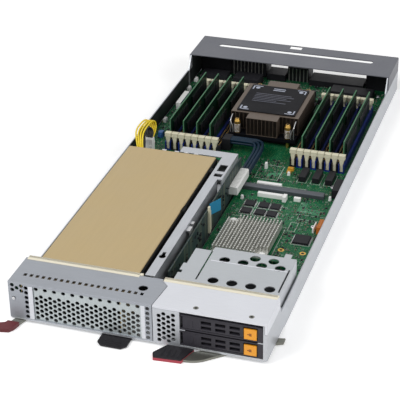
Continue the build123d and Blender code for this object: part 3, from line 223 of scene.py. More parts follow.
def bake_tree(holder, tree, values):
    """Runs a tree on an object with the given inputs, and keeps the result as a plain mesh."""
    name = holder.name
    scene.collection.objects.link(holder)
    step = holder.modifiers.new("make", "NODES")
    step.node_group = tree
    for item in tree.interface.items_tree:
        if item.in_out == "INPUT" and item.name in values:
            step[item.identifier] = values[item.name]
    result = holder.evaluated_get(bpy.context.evaluated_depsgraph_get())
    mesh = bpy.data.meshes.new_from_object(result)
    holder.modifiers.clear()
    shell = bmesh.new()
    shell.from_mesh(mesh)
    bmesh.ops.recalc_face_normals(shell, faces=shell.faces)
    shell.to_mesh(mesh)
    shell.free()
    mesh.name = name
    bpy.data.objects.remove(holder)
    return bpy.data.objects.new(name, mesh)


set_out_tree, brought, join = new_tree("set_out", [
    ("Spots", "NodeSocketGeometry"),
    ("Shape", "NodeSocketObject"),
    ("Size", "NodeSocketVector"),
    ("Finish", "NodeSocketMaterial"),
])
shape_info = set_out_tree.nodes.new("GeometryNodeObjectInfo")
turn_read = set_out_tree.nodes.new("GeometryNodeInputNamedAttribute")
turn_read.data_type = "FLOAT"
fill(turn_read, {"Name": "turn"})
turn_axis = set_out_tree.nodes.new("ShaderNodeCombineXYZ")
copies = set_out_tree.nodes.new("GeometryNodeInstanceOnPoints")
join(brought["Shape"], shape_info.inputs["Object"])
join(turn_read.outputs["Attribute"], turn_axis.inputs["Z"])
join(brought["Spots"], copies.inputs["Points"])
join(shape_info.outputs["Geometry"], copies.inputs["Instance"])
join(turn_axis.outputs["Vector"], copies.inputs["Rotation"])
join(brought["Size"], copies.inputs["Scale"])
end_tree(set_out_tree, copies.outputs["Instances"], brought["Finish"])


def set_out(name, solids, spots, finish, size=(1.0, 1.0, 1.0)):
    """Copies of one small shape, at spots of x, y, z in mm and a turn about Z in degrees."""
    cloud = bpy.data.meshes.new(name)
    cloud.from_pydata([[value * mm for value in spot[:3]] for spot in spots], [], [])
    turns = cloud.attributes.new("turn", "FLOAT", "POINT")
    for index, spot in enumerate(spots):
        turns.data[index].value = math.radians(spot[3]) if len(spot) > 3 else 0.0
    pattern = bpy.data.objects.new(name + "_shape", make_mesh(name + "_shape", solids, finish))
    values = {"Shape": pattern, "Size": size, "Finish": finish}
    piece = bake_tree(bpy.data.objects.new(name, cloud), set_out_tree, values)
    bpy.data.objects.remove(pattern)
    for attribute in [a for a in piece.data.attributes if a.name == "turn"]:
        piece.data.attributes.remove(attribute)
    return mount(piece)


zinc_plate = make_finish("zinc_plate", (186, 189, 194), metal=0.7, grain=(900, 60, 900))
nickel = make_finish("nickel", (196, 196, 198), spread=0.08, rough=0.3, metal=0.9, grain=700, relief=0.08)
# Near-black for painted shade: sheets over the left wall and under the riser rail's windows.
film_black = make_finish("film_black", (26, 30, 30), spread=0.2, rough=0.5, grain=300,
                         relief=0.15, shine=0.25)
dress(zinc_plate, "base_tray")
rivet = turned([(2.0, 0.0), (1.9, 0.25), (1.2, 0.5)], 10)
wall_x = 124.0
rivet_rows = [(-226, 24), (-40, 15), (60, 15), (160, 15), (228, 15)]
rivets = [stood_up(rivet, side, wall_x, (0.0, y, z)) for side in (-1, 1) for y, z in rivet_rows]
make_piece("wall_rivets", rivets, nickel)
# Painted shade: a thin black sheet over the inner face of the left wall and its ear, where shade falls.
wall_shade_x, ear_shade_x = (-122.78, -122.45), (-121.58, -121.25)
make_piece("wall_film", [
    block((wall_shade_x[0], 18.0, 6.5), (wall_shade_x[1], 228.2, 25.4)),
    block((ear_shade_x[0], 231.0, 8.0), (ear_shade_x[1], 297.0, 25.6)),
    block((ear_shade_x[0], 241.0, 25.6), (ear_shade_x[1], 297.0, 41.5)),
], film_black)

# Main board: a long glass-fibre board under emerald solder mask, on seven brass spacers and held by
# socket-headed screws. Copper tracks and plated holes show paler through the mask.
board_top = 7.6
fixing_spots = [(18, -174.5), (108.5, -174.5), (108.5, -66.4), (-114.5, 20.5), (108.5, 20.5),
                (-114.5, 255.5), (108.5, 255.5)]


def overlay(tree, share, under, colour):
    """A colour laid over another one by a share."""
    under_place, over_place, result_place = 6, 7, 2
    node = tree.nodes.new("ShaderNodeMix")
    node.data_type = "RGBA"
    tree.links.new(share, node.inputs["Factor"])
    tree.links.new(under, node.inputs[under_place])
    node.inputs[over_place].default_value = colour
    return node.outputs[result_place]


def make_board_finish(name, mask, track, pad, shine):
    """Solder mask with runs of copper track below it and small plated holes."""
    patch_scale, hole_scale = 70.0, 330.0
    hole_rim, hole_middle, hole_strength = 0.17, 0.12, 0.75
    finish = make_finish(name, mask, spread=0.3, grain=420, relief=0.15, shine=shine)
    tree = finish.node_tree
    nodes, link = tree.nodes, tree.links.new
    place = nodes["place"].outputs["Object"]
    patches = add_noise(tree, place, patch_scale)
    colour = nodes["tint"].outputs["Color"]
    runs = [(110.0, 0.0, 0.45, 0.56, 0.5), (70.0, math.pi / 2, 0.5, 0.6, 0.4)]
    for scale, turn, low, high, strength in runs:
        lay = nodes.new("ShaderNodeMapping")
        fill(lay, {"Rotation": (0.0, 0.0, turn)})
        link(place, lay.inputs["Vector"])
        bricks = nodes.new("ShaderNodeTexBrick")
        bricks.offset = 0.37
        fill(bricks, {"Scale": scale, "Mortar Size": 0.018, "Mortar Smooth": 0.2, "Brick Width": 1.7,
                      "Row Height": 0.13})
        link(lay.outputs["Vector"], bricks.inputs["Vector"])
        zone = rescale(tree, patches, low, high, 0.0, strength)
        share = calculate(tree, "MULTIPLY", bricks.outputs["Fac"], zone)
        colour = overlay(tree, share, colour, paint(*track))
    holes = nodes.new("ShaderNodeTexVoronoi")
    holes.voronoi_dimensions = "2D"
    fill(holes, {"Scale": hole_scale})
    link(place, holes.inputs["Vector"])
    dots = rescale(tree, holes.outputs["Distance"], hole_rim, hole_middle, 0.0, hole_strength)
    link(overlay(tree, dots, colour, paint(*pad)), nodes["Principled BSDF"].inputs["Base Color"])
    return finish


board_green = make_board_finish("board_green", (2, 80, 48), (52, 138, 94), (120, 150, 96), 0.15)
brass = make_finish("brass", (186, 150, 80), spread=0.16, rough=0.36, metal=0.85, grain=(500, 500, 2500))
gold_plate = make_finish("gold_plate", (214, 170, 84), rough=0.32, metal=0.85, relief=0.08)
# Near-black for painted shade inside holes and screw sockets.
hole_dark = make_finish("hole_dark", (22, 22, 24), spread=0.2, rough=0.6, shine=0.2)
dress(board_green, "main_board", "switch_board", "drive_backplane")
dress(brass, "standoffs")

screw_head = turned([(2.9, 0.0), (2.9, 1.1), (2.4, 1.6), (1.4, 1.6), (1.2, 0.5)], 12)
screw_spots = [(x, y, board_top) for x, y in fixing_spots]
set_out("board_screws", [screw_head], screw_spots, nickel)
pad_ring = turned([(3.3, 0.0), (3.2, 0.1), (1.7, 0.1), (1.6, 0.02)], 16)
tool_holes = [(88.1, -117.8, board_top), (110.5, -118.2, board_top)]
set_out("plated_rings", [pad_ring], tool_holes, gold_plate)
# Painted shade in the middles of the tool holes.
hole_shade_disc = turned([(1.7, 0.0), (1.5, 0.06)], 12)
set_out("ring_centres", [hole_shade_disc], tool_holes, hole_dark)

# Board parts: black moulded chips and inductors, white shrouded headers, and a grey bar across the
# board that keeps it from bowing. Rows of tiny leads stand out of the chips' sides.
black_moulding = make_finish("black_moulding", (30, 30, 34), spread=0.3, rough=0.55,
                             grain=1500, relief=0.25, shine=0.2)
white_moulding = make_finish("white_moulding", (242, 242, 240), spread=0.04, rough=0.45, relief=0.15)
bar_grey = make_finish("bar_grey", (78, 82, 88), spread=0.2, rough=0.45, metal=0.3,
                       grain=(120, 900, 900), relief=0.2)
silk_white = make_finish("silk_white", (206, 214, 206), spread=0.08, rough=0.6, shine=0.3)
dress(black_moulding, "board_chips", "board_inductors")
dress(white_moulding, "board_connectors", "push_pins")
dress(bar_grey, "stiffener_bar")
print_height = 0.04


def outline(x0, x1, y0, y1):
    """The four strokes of a printed outline on the main board's face."""
    stroke = 0.45
    low, high = board_top, board_top + print_height
    return [
        block((x0, y0, low), (x1, y0 + stroke, high)),
        block((x0, y1 - stroke, low), (x1, y1, high)),
        block((x0, y0 + stroke, low), (x0 + stroke, y1 - stroke, high)),
        block((x1 - stroke, y0 + stroke, low), (x1, y1 - stroke, high)),
    ]


chip_places = [(x, y, 10.6, 1.9) for y in (-52.8, -37.2) for x in (33.0, 48.0, 60.5)]
chip_places.append((103.5, -94.5, 16.6, 2.3))
chip_foot, chip_draft, outline_gap = 0.15, 0.25, 1.5
lead_pitch, lead_margin = 0.9, 1.0
chip_caps, lead_spots, outlines = [], [], []
for x, y, size, height in chip_places:
    half = size / 2
    chip_caps.append(block((x - half, y - half, board_top + chip_foot),
                           (x + half, y + half, board_top + height), chip_draft))
    count = int((size - lead_margin) / lead_pitch)
    for index in range(count):
        along = (index - (count - 1) / 2) * lead_pitch
        lead_spots += [(x + along, y + half, board_top, 0), (x + along, y - half, board_top, 180)]
        lead_spots += [(x - half, y + along, board_top, 90), (x + half, y + along, board_top, -90)]
    reach = half + outline_gap
    outlines += outline(x - reach, x + reach, y - reach, y + reach)
make_piece("chip_caps", chip_caps, black_moulding)
lead = block((-0.22, 0.0, 0.0), (0.22, 1.1, 0.5), 0.08)
set_out("chip_leads", [lead], lead_spots, nickel)
for x in (72.9, 87.9, 102.4):
    outlines += outline(x - 5.4, x + 5.4, 22.5, 48.5)
for box in ((24, 82, 1.2, 9.0), (21, 47, 20, 52), (88, 117, -54, -44), (20, 82, -150, -74),
            (84, 92, -80, -62)):
    outlines += outline(*box)
make_piece("board_outlines", outlines, silk_white)

# Small parts: hundreds of tan and black passive parts with tinned ends, little black chips, and the
# printed marks beside them. They are reflowed on the board wherever the larger parts leave room.
kept_clear = [
    (20, 82, -150, -74), (27, 66, -59, -31), (93, 114, -105, -84), (13, 107, -11, 2), (26, 60, 1, 9),
    (33, 66, -22, -14), (62, 70, -26, -14), (74, 84, -21, -14), (110, 120, -4, 26), (66, 108, 22, 49),
    (-33, 51, 66, 202), (-95, -30, 52, 212), (49, 114, 52, 212), (-116, -100, 154, 193),
    (-113, -100, 32, 47), (84, 92, -122, -114), (106, 115, -123, -114), (-121, 121, 270, 292),
    (6, 20, -36, 12), (-36, -20, 60, 90), (108, 120, -80, -60), (26, 30, 40, 47), (50, 60, 32, 52),
]
screw_clearance = 4.5
for x, y in fixing_spots:
    kept_clear.append((x - screw_clearance, x + screw_clearance, y - screw_clearance, y + screw_clearance))
part_zones = [(15, 118, -178, 13), (-118, 118, 17, 52), (-118, -97, 52, 268), (-30, 48, 52, 66),
              (-97, 118, 213, 266)]
spot_pitch, spot_drift = 3.3, 0.5
kinds, kind_weights = ["tan", "dark", "mark", "chip", "bare"], [16, 20, 9, 6, 49]
placing = random.Random(41)
part_kinds = {"tan": [], "dark": [], "mark": [], "chip": []}
for x0, x1, y0, y1 in part_zones:
    for column in range(int((x1 - x0) / spot_pitch)):
        for row in range(int((y1 - y0) / spot_pitch)):
            x = x0 + (column + 0.5) * spot_pitch + placing.uniform(-spot_drift, spot_drift)
            y = y0 + (row + 0.5) * spot_pitch + placing.uniform(-spot_drift, spot_drift)
            kind = placing.choices(kinds, kind_weights)[0]
            turn = placing.choice([0, 90])
            if kind == "bare" or any(a < x < b and c < y < d for a, b, c, d in kept_clear):
                continue
            part_kinds[kind].append((x, y, board_top, turn))

tan_ceramic = make_finish("tan_ceramic", (122, 104, 84), spread=0.12, rough=0.5,
                          grain=2400, relief=0.15, shine=0.3)
solder = make_finish("solder", (138, 142, 140), spread=0.12, metal=0.6)
part_body = [block((-0.6, -0.5, 0.0), (0.6, 0.5, 0.85), 0.06)]
part_ends = [block((-0.95, -0.53, 0.0), (-0.55, 0.53, 0.9), 0.05),
             block((0.55, -0.53, 0.0), (0.95, 0.53, 0.9), 0.05)]
flat_size = (1.1, 1.1, 0.6)
set_out("tan_parts", part_body, part_kinds["tan"], tan_ceramic)
set_out("tan_part_ends", part_ends, part_kinds["tan"], solder)
set_out("dark_parts", part_body, part_kinds["dark"], black_moulding, flat_size)
set_out("dark_part_ends", part_ends, part_kinds["dark"], solder, flat_size)
small_chip = block((-1.3, -1.0, 0.1), (1.3, 1.0, 0.9), 0.12)
set_out("small_chips", [small_chip], part_kinds["chip"], black_moulding)
chip_feet = []
for foot in (-0.9, -0.3, 0.3, 0.9):
    for foot_y in (-1.25, 1.25):
        chip_feet.append(block((foot - 0.13, foot_y - 0.3, 0.0), (foot + 0.13, foot_y + 0.3, 0.3), 0.04))
set_out("small_chip_feet", chip_feet, part_kinds["chip"], solder)
mark = [block((-1.2, -0.85, 0.0), (1.2, -0.6, print_height)),
        block((-1.2, 0.6, 0.0), (1.2, 0.85, print_height)),
        block((-1.2, -0.6, 0.0), (-0.95, 0.6, print_height))]
set_out("printed_marks", mark, part_kinds["mark"], silk_white)

# Larger passive parts: two bare orange-gold capacitors ahead of the right memory bank, white caps, a
# blue plug and white plugs by the left wall, an amber header by the right one. All are soldered to
# the board, between paler bundles of track.
amber = make_finish("amber", (196, 110, 44), spread=0.14, relief=0.15)
capacitor_gold = make_finish("capacitor_gold", (206, 150, 44), spread=0.12, metal=0.1, relief=0.12)
track_pale = make_finish("track_pale", (104, 176, 136), spread=0.12, rough=0.45, shine=0.2)
plug_blue = make_finish("plug_blue", (44, 92, 150), spread=0.15, rough=0.45, relief=0.15)


def on_board(x0, x1, y0, y1, height, draft):
    """A block that stands on the main board."""
    return block((x0, y0, board_top), (x1, y1, board_top + height), draft)


make_piece("gold_capacitors", [
    on_board(51.5, 58.5, 44.5, 49.5, 3.2, 0.5),
    on_board(52.0, 57.0, 39.0, 42.5, 2.6, 0.4),
], capacitor_gold)
make_piece("blue_plug", [
    block((-111.5, 81.0, board_top), (-105.5, 88.5, 14.0), 0.4),
    block((-110.0, 80.0, board_top), (-107.0, 81.0, 12.0), 0.2),
], plug_blue)
wall_plugs = []
plug_shoulder, plug_crown = 11.8, 12.6
for y in (119.0, 209.0, 236.0):
    wall_plugs.append(block((-118.6, y, board_top), (-114.6, y + 7.0, plug_shoulder), 0.3))
    wall_plugs.append(block((-117.6, y + 0.8, plug_shoulder), (-115.6, y + 6.2, plug_crown), 0.2))
make_piece("wall_plugs", wall_plugs, white_moulding)
make_piece("white_caps", [
    on_board(26.5, 29.5, 41.5, 46.0, 7.0, 0.4),
    on_board(54.2, 57.4, 33.5, 36.5, 4.0, 0.4),
    on_board(109.6, 111.4, -77.5, -62.5, 5.0, 0.3),
    on_board(110.2, 113.2, -8.6, -5.0, 4.5, 0.4),
    on_board(20.0, 23.0, -30.0, -26.5, 4.0, 0.4),
], white_moulding)
make_piece("amber_header", [on_board(114.0, 119.0, -78.5, -60.5, 8.0, 0.3)], amber)
header_pin = block((-0.3, -0.3, 0.0), (0.3, 0.3, 1.2), 0.15)
header_pin_spots = [(x, -77.0 + 2.2 * step, board_top + 7.9) for x in (115.4, 117.6) for step in range(8)]
set_out("amber_header_pins", [header_pin], header_pin_spots, gold_plate)
track = block((-11.0, -0.18, 0.0), (11.0, 0.18, 0.03))
track_bundles = [
    (12, 100.0, 0.0, -41.0, 0.9, 0), (10, 39.0, 0.5, 28.0, 1.0, 24), (8, 84.5, 0.9, -30.0, 0.0, 90),
    (10, -108.0, 0.9, 120.0, 0.0, 90), (14, 40.0, 0.8, 236.0, 0.0, 90),
]
track_spots = []
for count, x, step_x, y, step_y, turn in track_bundles:
    track_spots += [(x + step_x * step, y + step_y * step, board_top, turn) for step in range(count)]
set_out("track_bundles", [track], track_spots, track_pale)

# Processor and cooler: the chip clamps into a black socket, and a brown-grey stack of thin fins with a
# black top plate presses on it, by four brass barrels with coiled springs at its corners.
cooler_grey = make_finish("cooler_grey", (94, 82, 72), spread=0.18, rough=0.46, metal=0.4,
                          grain=(800, 90, 800), relief=0.15)
# A darker copy of the cooler's brown-grey for the thin fins and the side ribs: painted shade between the
# fins.
fin_dark = make_finish("fin_dark", (56, 48, 43), spread=0.2, rough=0.5, metal=0.3,
                       grain=(800, 90, 800), relief=0.15)
plate_black = make_finish("plate_black", (12, 12, 17), spread=0.25, rough=0.55,
                          grain=700, relief=0.15, shine=0.1)
plate_print = make_finish("plate_print", (176, 182, 198), spread=0.12, rough=0.55)
bar_print = make_finish("bar_print", (88, 90, 102), spread=0.15, rough=0.55, shine=0.3)
dress(black_moulding, "processor_socket")
dress(nickel, "processor")
dress(plate_black, "cooler_base", "cooler_plate")
dress(cooler_grey, "cooler_fins")
dress(brass, "cooler_screws")

cooler_x, cooler_y = 7.93, 146.5
fin_low, fin_high = 19.6, 39.4
stack_width, nose_width = 78.5, 36.0
half_depth, nose_reach = 38.5, 51.7
thick_fin, thin_fin, fin_pitch, fin_gap = 0.7, 0.35, 4.4, 0.3
fin_runs = [(stack_width, -half_depth, half_depth), (nose_width, -nose_reach, -half_depth),
            (nose_width, half_depth, nose_reach)]
fins = []
for width, y0, y1 in fin_runs:
    count = int(width / fin_pitch)
    cell = (width - thick_fin) / count
    for index in range(count):
        start = cooler_x - width / 2 + thick_fin + index * cell
        for share in (1 / 3, 2 / 3):
            x = start + (cell - thick_fin) * share
            fins.append(block((x - thin_fin / 2, cooler_y + y0 + fin_gap, fin_low),
                              (x + thin_fin / 2, cooler_y + y1 - fin_gap, fin_high)))
make_piece("thin_fins", fins, fin_dark)

side_rib = block((-0.25, -0.35, 0.0), (0.25, 0.35, 18.6), 0.1)
rib_foot, rib_pitch, first_rib, rib_sink = 20.2, 3.0, 36.0, 0.05
rib_spots = []
for side in (-1, 1):
    rib_x = cooler_x + side * (stack_width / 2 + rib_sink)
    rib_spots += [(rib_x, cooler_y - first_rib + rib_pitch * step, rib_foot) for step in range(25)]
set_out("side_ribs", [side_rib], rib_spots, fin_dark)

barrel_spots = [(cooler_x + sx * 29.5, cooler_y + sy * 47.5) for sx in (-1, 1) for sy in (-1, 1)]
barrel_top = 36.0
spring_low, spring_pitch, spring_turns = 20.4, 1.7, 6
coil = turned([(3.55, -0.45), (4.0, -0.2), (4.0, 0.2), (3.55, 0.45)], 14)
coil_spots = [(x, y, spring_low + spring_pitch * turn) for x, y in barrel_spots
              for turn in range(spring_turns)]
set_out("barrel_springs", [coil], coil_spots, nickel)
# Painted shade of the driver sockets on the barrels' tops.
driver_seat_shade = turned([(1.5, 0.0), (1.4, 0.12)], 6)
seat_spots = [(x, y, barrel_top) for x, y in barrel_spots]
set_out("barrel_sockets", [driver_seat_shade], seat_spots, hole_dark)

plate_low, plate_high = 41.0, 41.04


def printed_bar(x0, x1, y0, y1):
    """A bar printed on the cooler's plate, measured from the plate's middle."""
    return block((cooler_x + x0, cooler_y + y0, plate_low), (cooler_x + x1, cooler_y + y1, plate_high))


plate_marks = []
stroke = 0.8
for sx in (-1, 1):
    for sy in (-1, 1):
        x, y = cooler_x + sx * 26, cooler_y + sy * 27
        plate_marks.append(turned([(2.6, plate_low), (2.5, plate_high)], 14, (x, y)))
        upright = x + sx * 5.0
        plate_marks.append(block((upright - stroke, y - 4.4, plate_low),
                                 (upright + stroke, y + 4.4, plate_high)))
        level = y + sy * 4.4
        start, end = sorted((x - sx * 5.0, x + sx * 4.2))
        plate_marks.append(block((start, level - stroke, plate_low), (end, level + stroke, plate_high)))
plate_marks += [printed_bar(-7.0, 7.0, y, y + 1.8) for y in (24.0, 28.0)]
make_piece("plate_marks", plate_marks, plate_print)
bars = [(18, 12.0), (22, 8.0), (14, 4.0), (20, 0.0), (4, -4.0), (16, -8.0)]
plate_bars = [printed_bar(-24, end, y, y + 1.3) for end, y in bars]
make_piece("plate_bars", plate_bars, bar_print)

run_wire_tree, brought, join = new_tree("run_wire", [
    ("Path", "NodeSocketGeometry"),
    ("Radius", "NodeSocketFloat"),
    ("Sides", "NodeSocketInt"),
    ("Finish", "NodeSocketMaterial"),
])
wire_circle = run_wire_tree.nodes.new("GeometryNodeCurvePrimitiveCircle")
wire_sweep = run_wire_tree.nodes.new("GeometryNodeCurveToMesh")
fill(wire_sweep, {"Fill Caps": True})
wire_smooth = run_wire_tree.nodes.new("GeometryNodeSetShadeSmooth")
join(brought["Radius"], wire_circle.inputs["Radius"])
join(brought["Sides"], wire_circle.inputs["Resolution"])
join(brought["Path"], wire_sweep.inputs["Curve"])
join(wire_circle.outputs["Curve"], wire_sweep.inputs["Profile Curve"])
join(wire_sweep.outputs["Mesh"], wire_smooth.inputs["Geometry"])
end_tree(run_wire_tree, wire_smooth.outputs["Geometry"], brought["Finish"])


def run_wires(name, routes, radius, sides, finish):
    """Round wires of one radius, each along a smooth line drawn by its route's points in mm."""
    lines = bpy.data.curves.new(name, "CURVE")
    lines.dimensions = "3D"
    for route in routes:
        line = lines.splines.new("NURBS")
        line.points.add(len(route) - 1)
        for point, place in zip(line.points, route):
            point.co = (*[value * mm for value in place], 1.0)
        line.order_u = 3
        line.use_endpoint_u = True
        line.resolution_u = 8
    values = {"Radius": radius * mm, "Sides": sides, "Finish": finish}
    return mount(bake_tree(bpy.data.objects.new(name, lines), run_wire_tree, values))


clip_foot_y, clip_foot_z, clip_radius = 96.0, 19.3, 0.6
clip_routes = []
for side in (-1, 1):
    x = cooler_x + side * 37.0
    inner, leaning = x - side * 3.2, x - side * 1.5
    clip_routes.append([(x, clip_foot_y, clip_foot_z), (x, clip_foot_y, 28.0), (x, 97.0, 35.0),
                        (x, 106.5, 37.0)])
    clip_routes.append([(inner, clip_foot_y, clip_foot_z), (inner, clip_foot_y, 26.0),
                        (leaning, clip_foot_y, 30.0), (x, 96.4, 33.0)])
run_wires("cooler_clips", clip_routes, clip_radius, 8, nickel)

# Memory: sixteen long sockets in two banks, every second one blue, eight upright modules with black
# chips on both faces, and cream latches that tip outward at both ends of each socket.
socket_blue = make_finish("socket_blue", (24, 44, 122), spread=0.2, relief=0.15, shine=0.3)
latch_cream = make_finish("latch_cream", (226, 221, 194), spread=0.07, rough=0.45, relief=0.15)
module_green = make_board_finish("module_green", (6, 28, 18), (16, 50, 34), (70, 80, 50), 0.1)
module_middle, module_end, module_top = 132.0, 66.55, 40.8
module_tree = module_green.node_tree
module_place = module_tree.nodes.new("ShaderNodeSeparateXYZ")
module_tree.links.new(module_tree.nodes["place"].outputs["Object"], module_place.inputs["Vector"])
from_middle = calculate(module_tree, "SUBTRACT", module_place.outputs["Y"], module_middle * mm)
from_middle = calculate(module_tree, "ABSOLUTE", from_middle)
at_end = calculate(module_tree, "GREATER_THAN", from_middle, module_end * mm)
at_top = calculate(module_tree, "GREATER_THAN", module_place.outputs["Z"], module_top * mm)
cut_edge = calculate(module_tree, "MAXIMUM", at_end, at_top)
module_skin = module_tree.nodes["Principled BSDF"].inputs["Base Color"]
bare_edge = overlay(module_tree, cut_edge, module_skin.links[0].from_socket, paint(78, 124, 92))
module_tree.links.new(bare_edge, module_skin)
dress(socket_blue, "filled_memory_sockets")
dress(black_moulding, "empty_memory_sockets")
dress(module_green, "memory_modules")
dress(latch_cream, "left_front_latches", "left_rear_latches", "right_front_latches", "right_rear_latches")

bank_pitch, bank_sockets, bank_low = 7.8, 8, 65.4
left_first, right_first = -90.17, 54.63
head_half, head_low, head_high, head_draft = 3.72, 23.6, 28.2, 0.25
for side, first_x in (("left", left_first), ("right", right_first)):
    for end, y0, y1 in (("front", 55.85, 60.2), ("rear", 203.8, 208.15)):
        heads = []
        for step in range(bank_sockets):
            x = first_x + bank_pitch * step
            heads.append(block((x - head_half, y0, head_low), (x + head_half, y1, head_high), head_draft))
        row = side + "_" + end
        make_piece(row + "_latch_heads", heads, latch_cream, row + "_latches")

module_xs = [left_first + bank_pitch * step for step in (0, 2, 4, 6)]
module_xs += [right_first + bank_pitch * step for step in (1, 3, 5, 7)]
chip_face, chip_middle_z = 1.6, 29.3
memory_chip = block((-4.3, -5.0, 0.0), (4.3, 5.0, 0.3), 0.15)
chip_rows = [strip + 5.0 + 10.0 * step for strip in (73.66, 140.34) for step in range(5)]
memory_chips = [stood_up(memory_chip, side, chip_face, (x, y, chip_middle_z))
                for x in module_xs for side in (-1, 1) for y in chip_rows]
make_piece("memory_chips", memory_chips, black_moulding)

contact = block((-0.75, -0.32, 0.0), (0.75, 0.32, 0.06))
contact_pitch, contact_rows, first_contact = 2.2, 60, 1.5
contact_reach, socket_top = 1.7, 15.6
contact_spots = []
for first_x in (left_first, right_first):
    for step in range(bank_sockets):
        x = first_x + bank_pitch * step
        if x in module_xs:
            continue
        for row in range(contact_rows):
            y = bank_low + first_contact + contact_pitch * row
            contact_spots += [(x + side * contact_reach, y, socket_top) for side in (-1, 1)]
set_out("socket_contacts", [contact], contact_spots, gold_plate)

# Chipset heatsink: a milled aluminium block of thin blades, held down by two sprung pins with white
# caps at opposite corners.
milled = make_finish("milled", (198, 198, 193), rough=0.36, metal=0.75, grain=(150, 1200, 900),
                     relief=0.12)
sink_top = 12.2
sink_base = block((24.0, -144.43, 9.6), (79.0, -78.52, sink_top))
make_piece("chipset_sink_base", [sink_base], milled)
sink_pins = [(28.5, -83.0), (74.5, -139.9)]
pin_clearance = 8.0
blade_columns, blade_rows = 16, 18
blade = block((-0.7, -1.25, 0.0), (0.7, 1.25, 5.8), 0.08)
blade_spots = []
for column in range(blade_columns):
    for row in range(blade_rows):
        x = 24.75 + 53.5 * column / (blade_columns - 1)
        y = -143.1 + 63.25 * row / (blade_rows - 1)
        if all(abs(x - pin_x) + abs(y - pin_y) > pin_clearance for pin_x, pin_y in sink_pins):
            blade_spots.append((x, y, sink_top))
blades = set_out("chipset_blades", [blade], blade_spots, milled)
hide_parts("chipset_heatsink")
pin_button = turned([(2.1, 0.0), (2.0, 0.8), (1.2, 1.2), (0.8, 1.2), (0.7, 0.7)], 12)
button_spots = [(x, y, 13.8) for x, y in sink_pins]
set_out("pin_buttons", [pin_button], button_spots, white_moulding)

# Accelerator card: its board and finned block sit in a gold-anodised duct of thin aluminium, open
# at the front and the back. The board is black and a black edge strip runs down its right side under
# the rail, both partly as painted shade in the gap there.
gold_skin = make_finish("gold_skin", (188, 166, 122), spread=0.035, metal=0.3, grain=(300, 30, 300),
                        relief=0.02)
# The card's board is black, partly as painted shade in the gap under the rail.
card_black = make_board_finish("card_black", (20, 22, 22), (40, 44, 42), (110, 100, 70), 0.2)
fin_shadow = make_finish("fin_shadow", (30, 30, 32), spread=0.2, rough=0.5, metal=0.2,
                         grain=(900, 90, 900), shine=0.2)
# Black foam for the seals, also used as painted shade for the card's edge strip.
foam_black = make_finish("foam_black", (18, 18, 19), spread=0.25, rough=0.8,
                         grain=2400, relief=0.5, shine=0.15)
dress(gold_skin, "card_shroud")
dress(card_black, "card_board")
dress(fin_shadow, "card_heatsink")
strip_x = -13.45
# A black strip down the card's right side, partly painted shade of the gap under the rail; the two short
# blocks are clips.
make_piece("card_edge_strip", [
    block((strip_x, -250.0, 8.4), (-11.6, -9.0, 40.2), 0.1),
    block((strip_x, -128.0, 40.2), (-9.4, -118.0, 41.6), 0.4),
    block((strip_x, -40.0, 36.0), (-8.4, -31.0, 40.6), 0.3),
], foam_black)
tail_tabs = []
for x in (-72.0, -58.0, -47.0, -36.0):
    tail_tabs.append(block((x - 2.6, -7.9, 36.0), (x + 2.6, -5.8, 41.4), 0.2))
    tail_tabs.append(block((x - 1.4, -5.8, 38.0), (x + 1.4, -3.4, 39.2), 0.1))
make_piece("card_tail_tabs", tail_tabs, nickel)

# Riser: a folded zinc rail carries an upright dark board, whose white plug takes six dark blue leads to
# a black header by the cooler. A blue ribbon stands out from it, to pull the plug by.
cable_blue = make_finish("cable_blue", (4, 32, 50), spread=0.3, rough=0.45, relief=0.3, shine=0.22)
ribbon_blue = make_finish("ribbon_blue", (28, 132, 172), spread=0.12, rough=0.6, grain=2400, relief=0.5)
riser_dark = make_board_finish("riser_dark", (44, 58, 58), (70, 92, 88), (130, 130, 100), 0.2)
dress(zinc_plate, "riser_bracket")
dress(black_moulding, "riser_socket")
dress(white_moulding, "riser_plug")
dress(ribbon_blue, "pull_tab")
dress(riser_dark, "riser_card")

riser_lead_radius = 1.65
leads = []
for z in (16.9, 20.2):
    for shift in (-3.4, 0.0, 3.4):
        out_x, turn_y = 13.95 + shift, 78.5 + shift
        leads.append([(out_x, 9.5, z), (out_x, 30.0, z), (out_x, turn_y - 14, z),
                      (out_x - 5, turn_y, z), (-6.0, turn_y, z), (-22.4, turn_y, z)])
cable = run_wires("riser_leads", leads, riser_lead_radius, 12, cable_blue)
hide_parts("riser_cable")

plug_ribs = []
for step in range(14):
    y = -32.5 + 3.0 * step
    plug_ribs.append(block((9.0, y, 23.0), (16.4, y + 1.4, 23.5), 0.15))
make_piece("plug_ribs", plug_ribs, white_moulding)
riser_face = 8.6
riser_parts = []
for step in range(70):
    y = placing.uniform(-222, 8)
    z = placing.uniform(11, 31)
    if (-38 < y < 12) or (-114 < y < -84):
        continue
    length, height = placing.choice([(2.0, 1.0), (1.0, 2.0), (3.4, 2.4), (1.6, 0.9)])
    outer_x = riser_face + placing.uniform(0.6, 1.2)
    riser_parts.append(block((riser_face, y, z), (outer_x, y + length, z + height), 0.1))
make_piece("riser_parts", riser_parts, black_moulding)
make_piece("riser_post", [
    block((riser_face, -108.0, 8.0), (11.0, -104.6, 38.0), 0.2),
    block((11.0, -107.4, 12.0), (11.7, -105.2, 34.0), 0.1),
], latch_cream)
# Painted shade: a black sheet under the rail's windows, so that they show dark inside.
make_piece("rail_liner", [block((-7.2, -54.5, 35.6), (5.6, -8.2, 36.6))], film_black)
make_piece("rail_hooks", [
    block((2.05, -158.0, 37.4), (6.4, -149.0, 38.6), 0.1),
    block((5.4, -158.0, 33.0), (6.4, -149.0, 37.4), 0.05),
    block((2.05, -144.0, 37.4), (5.4, -139.0, 38.6), 0.1),
], nickel)

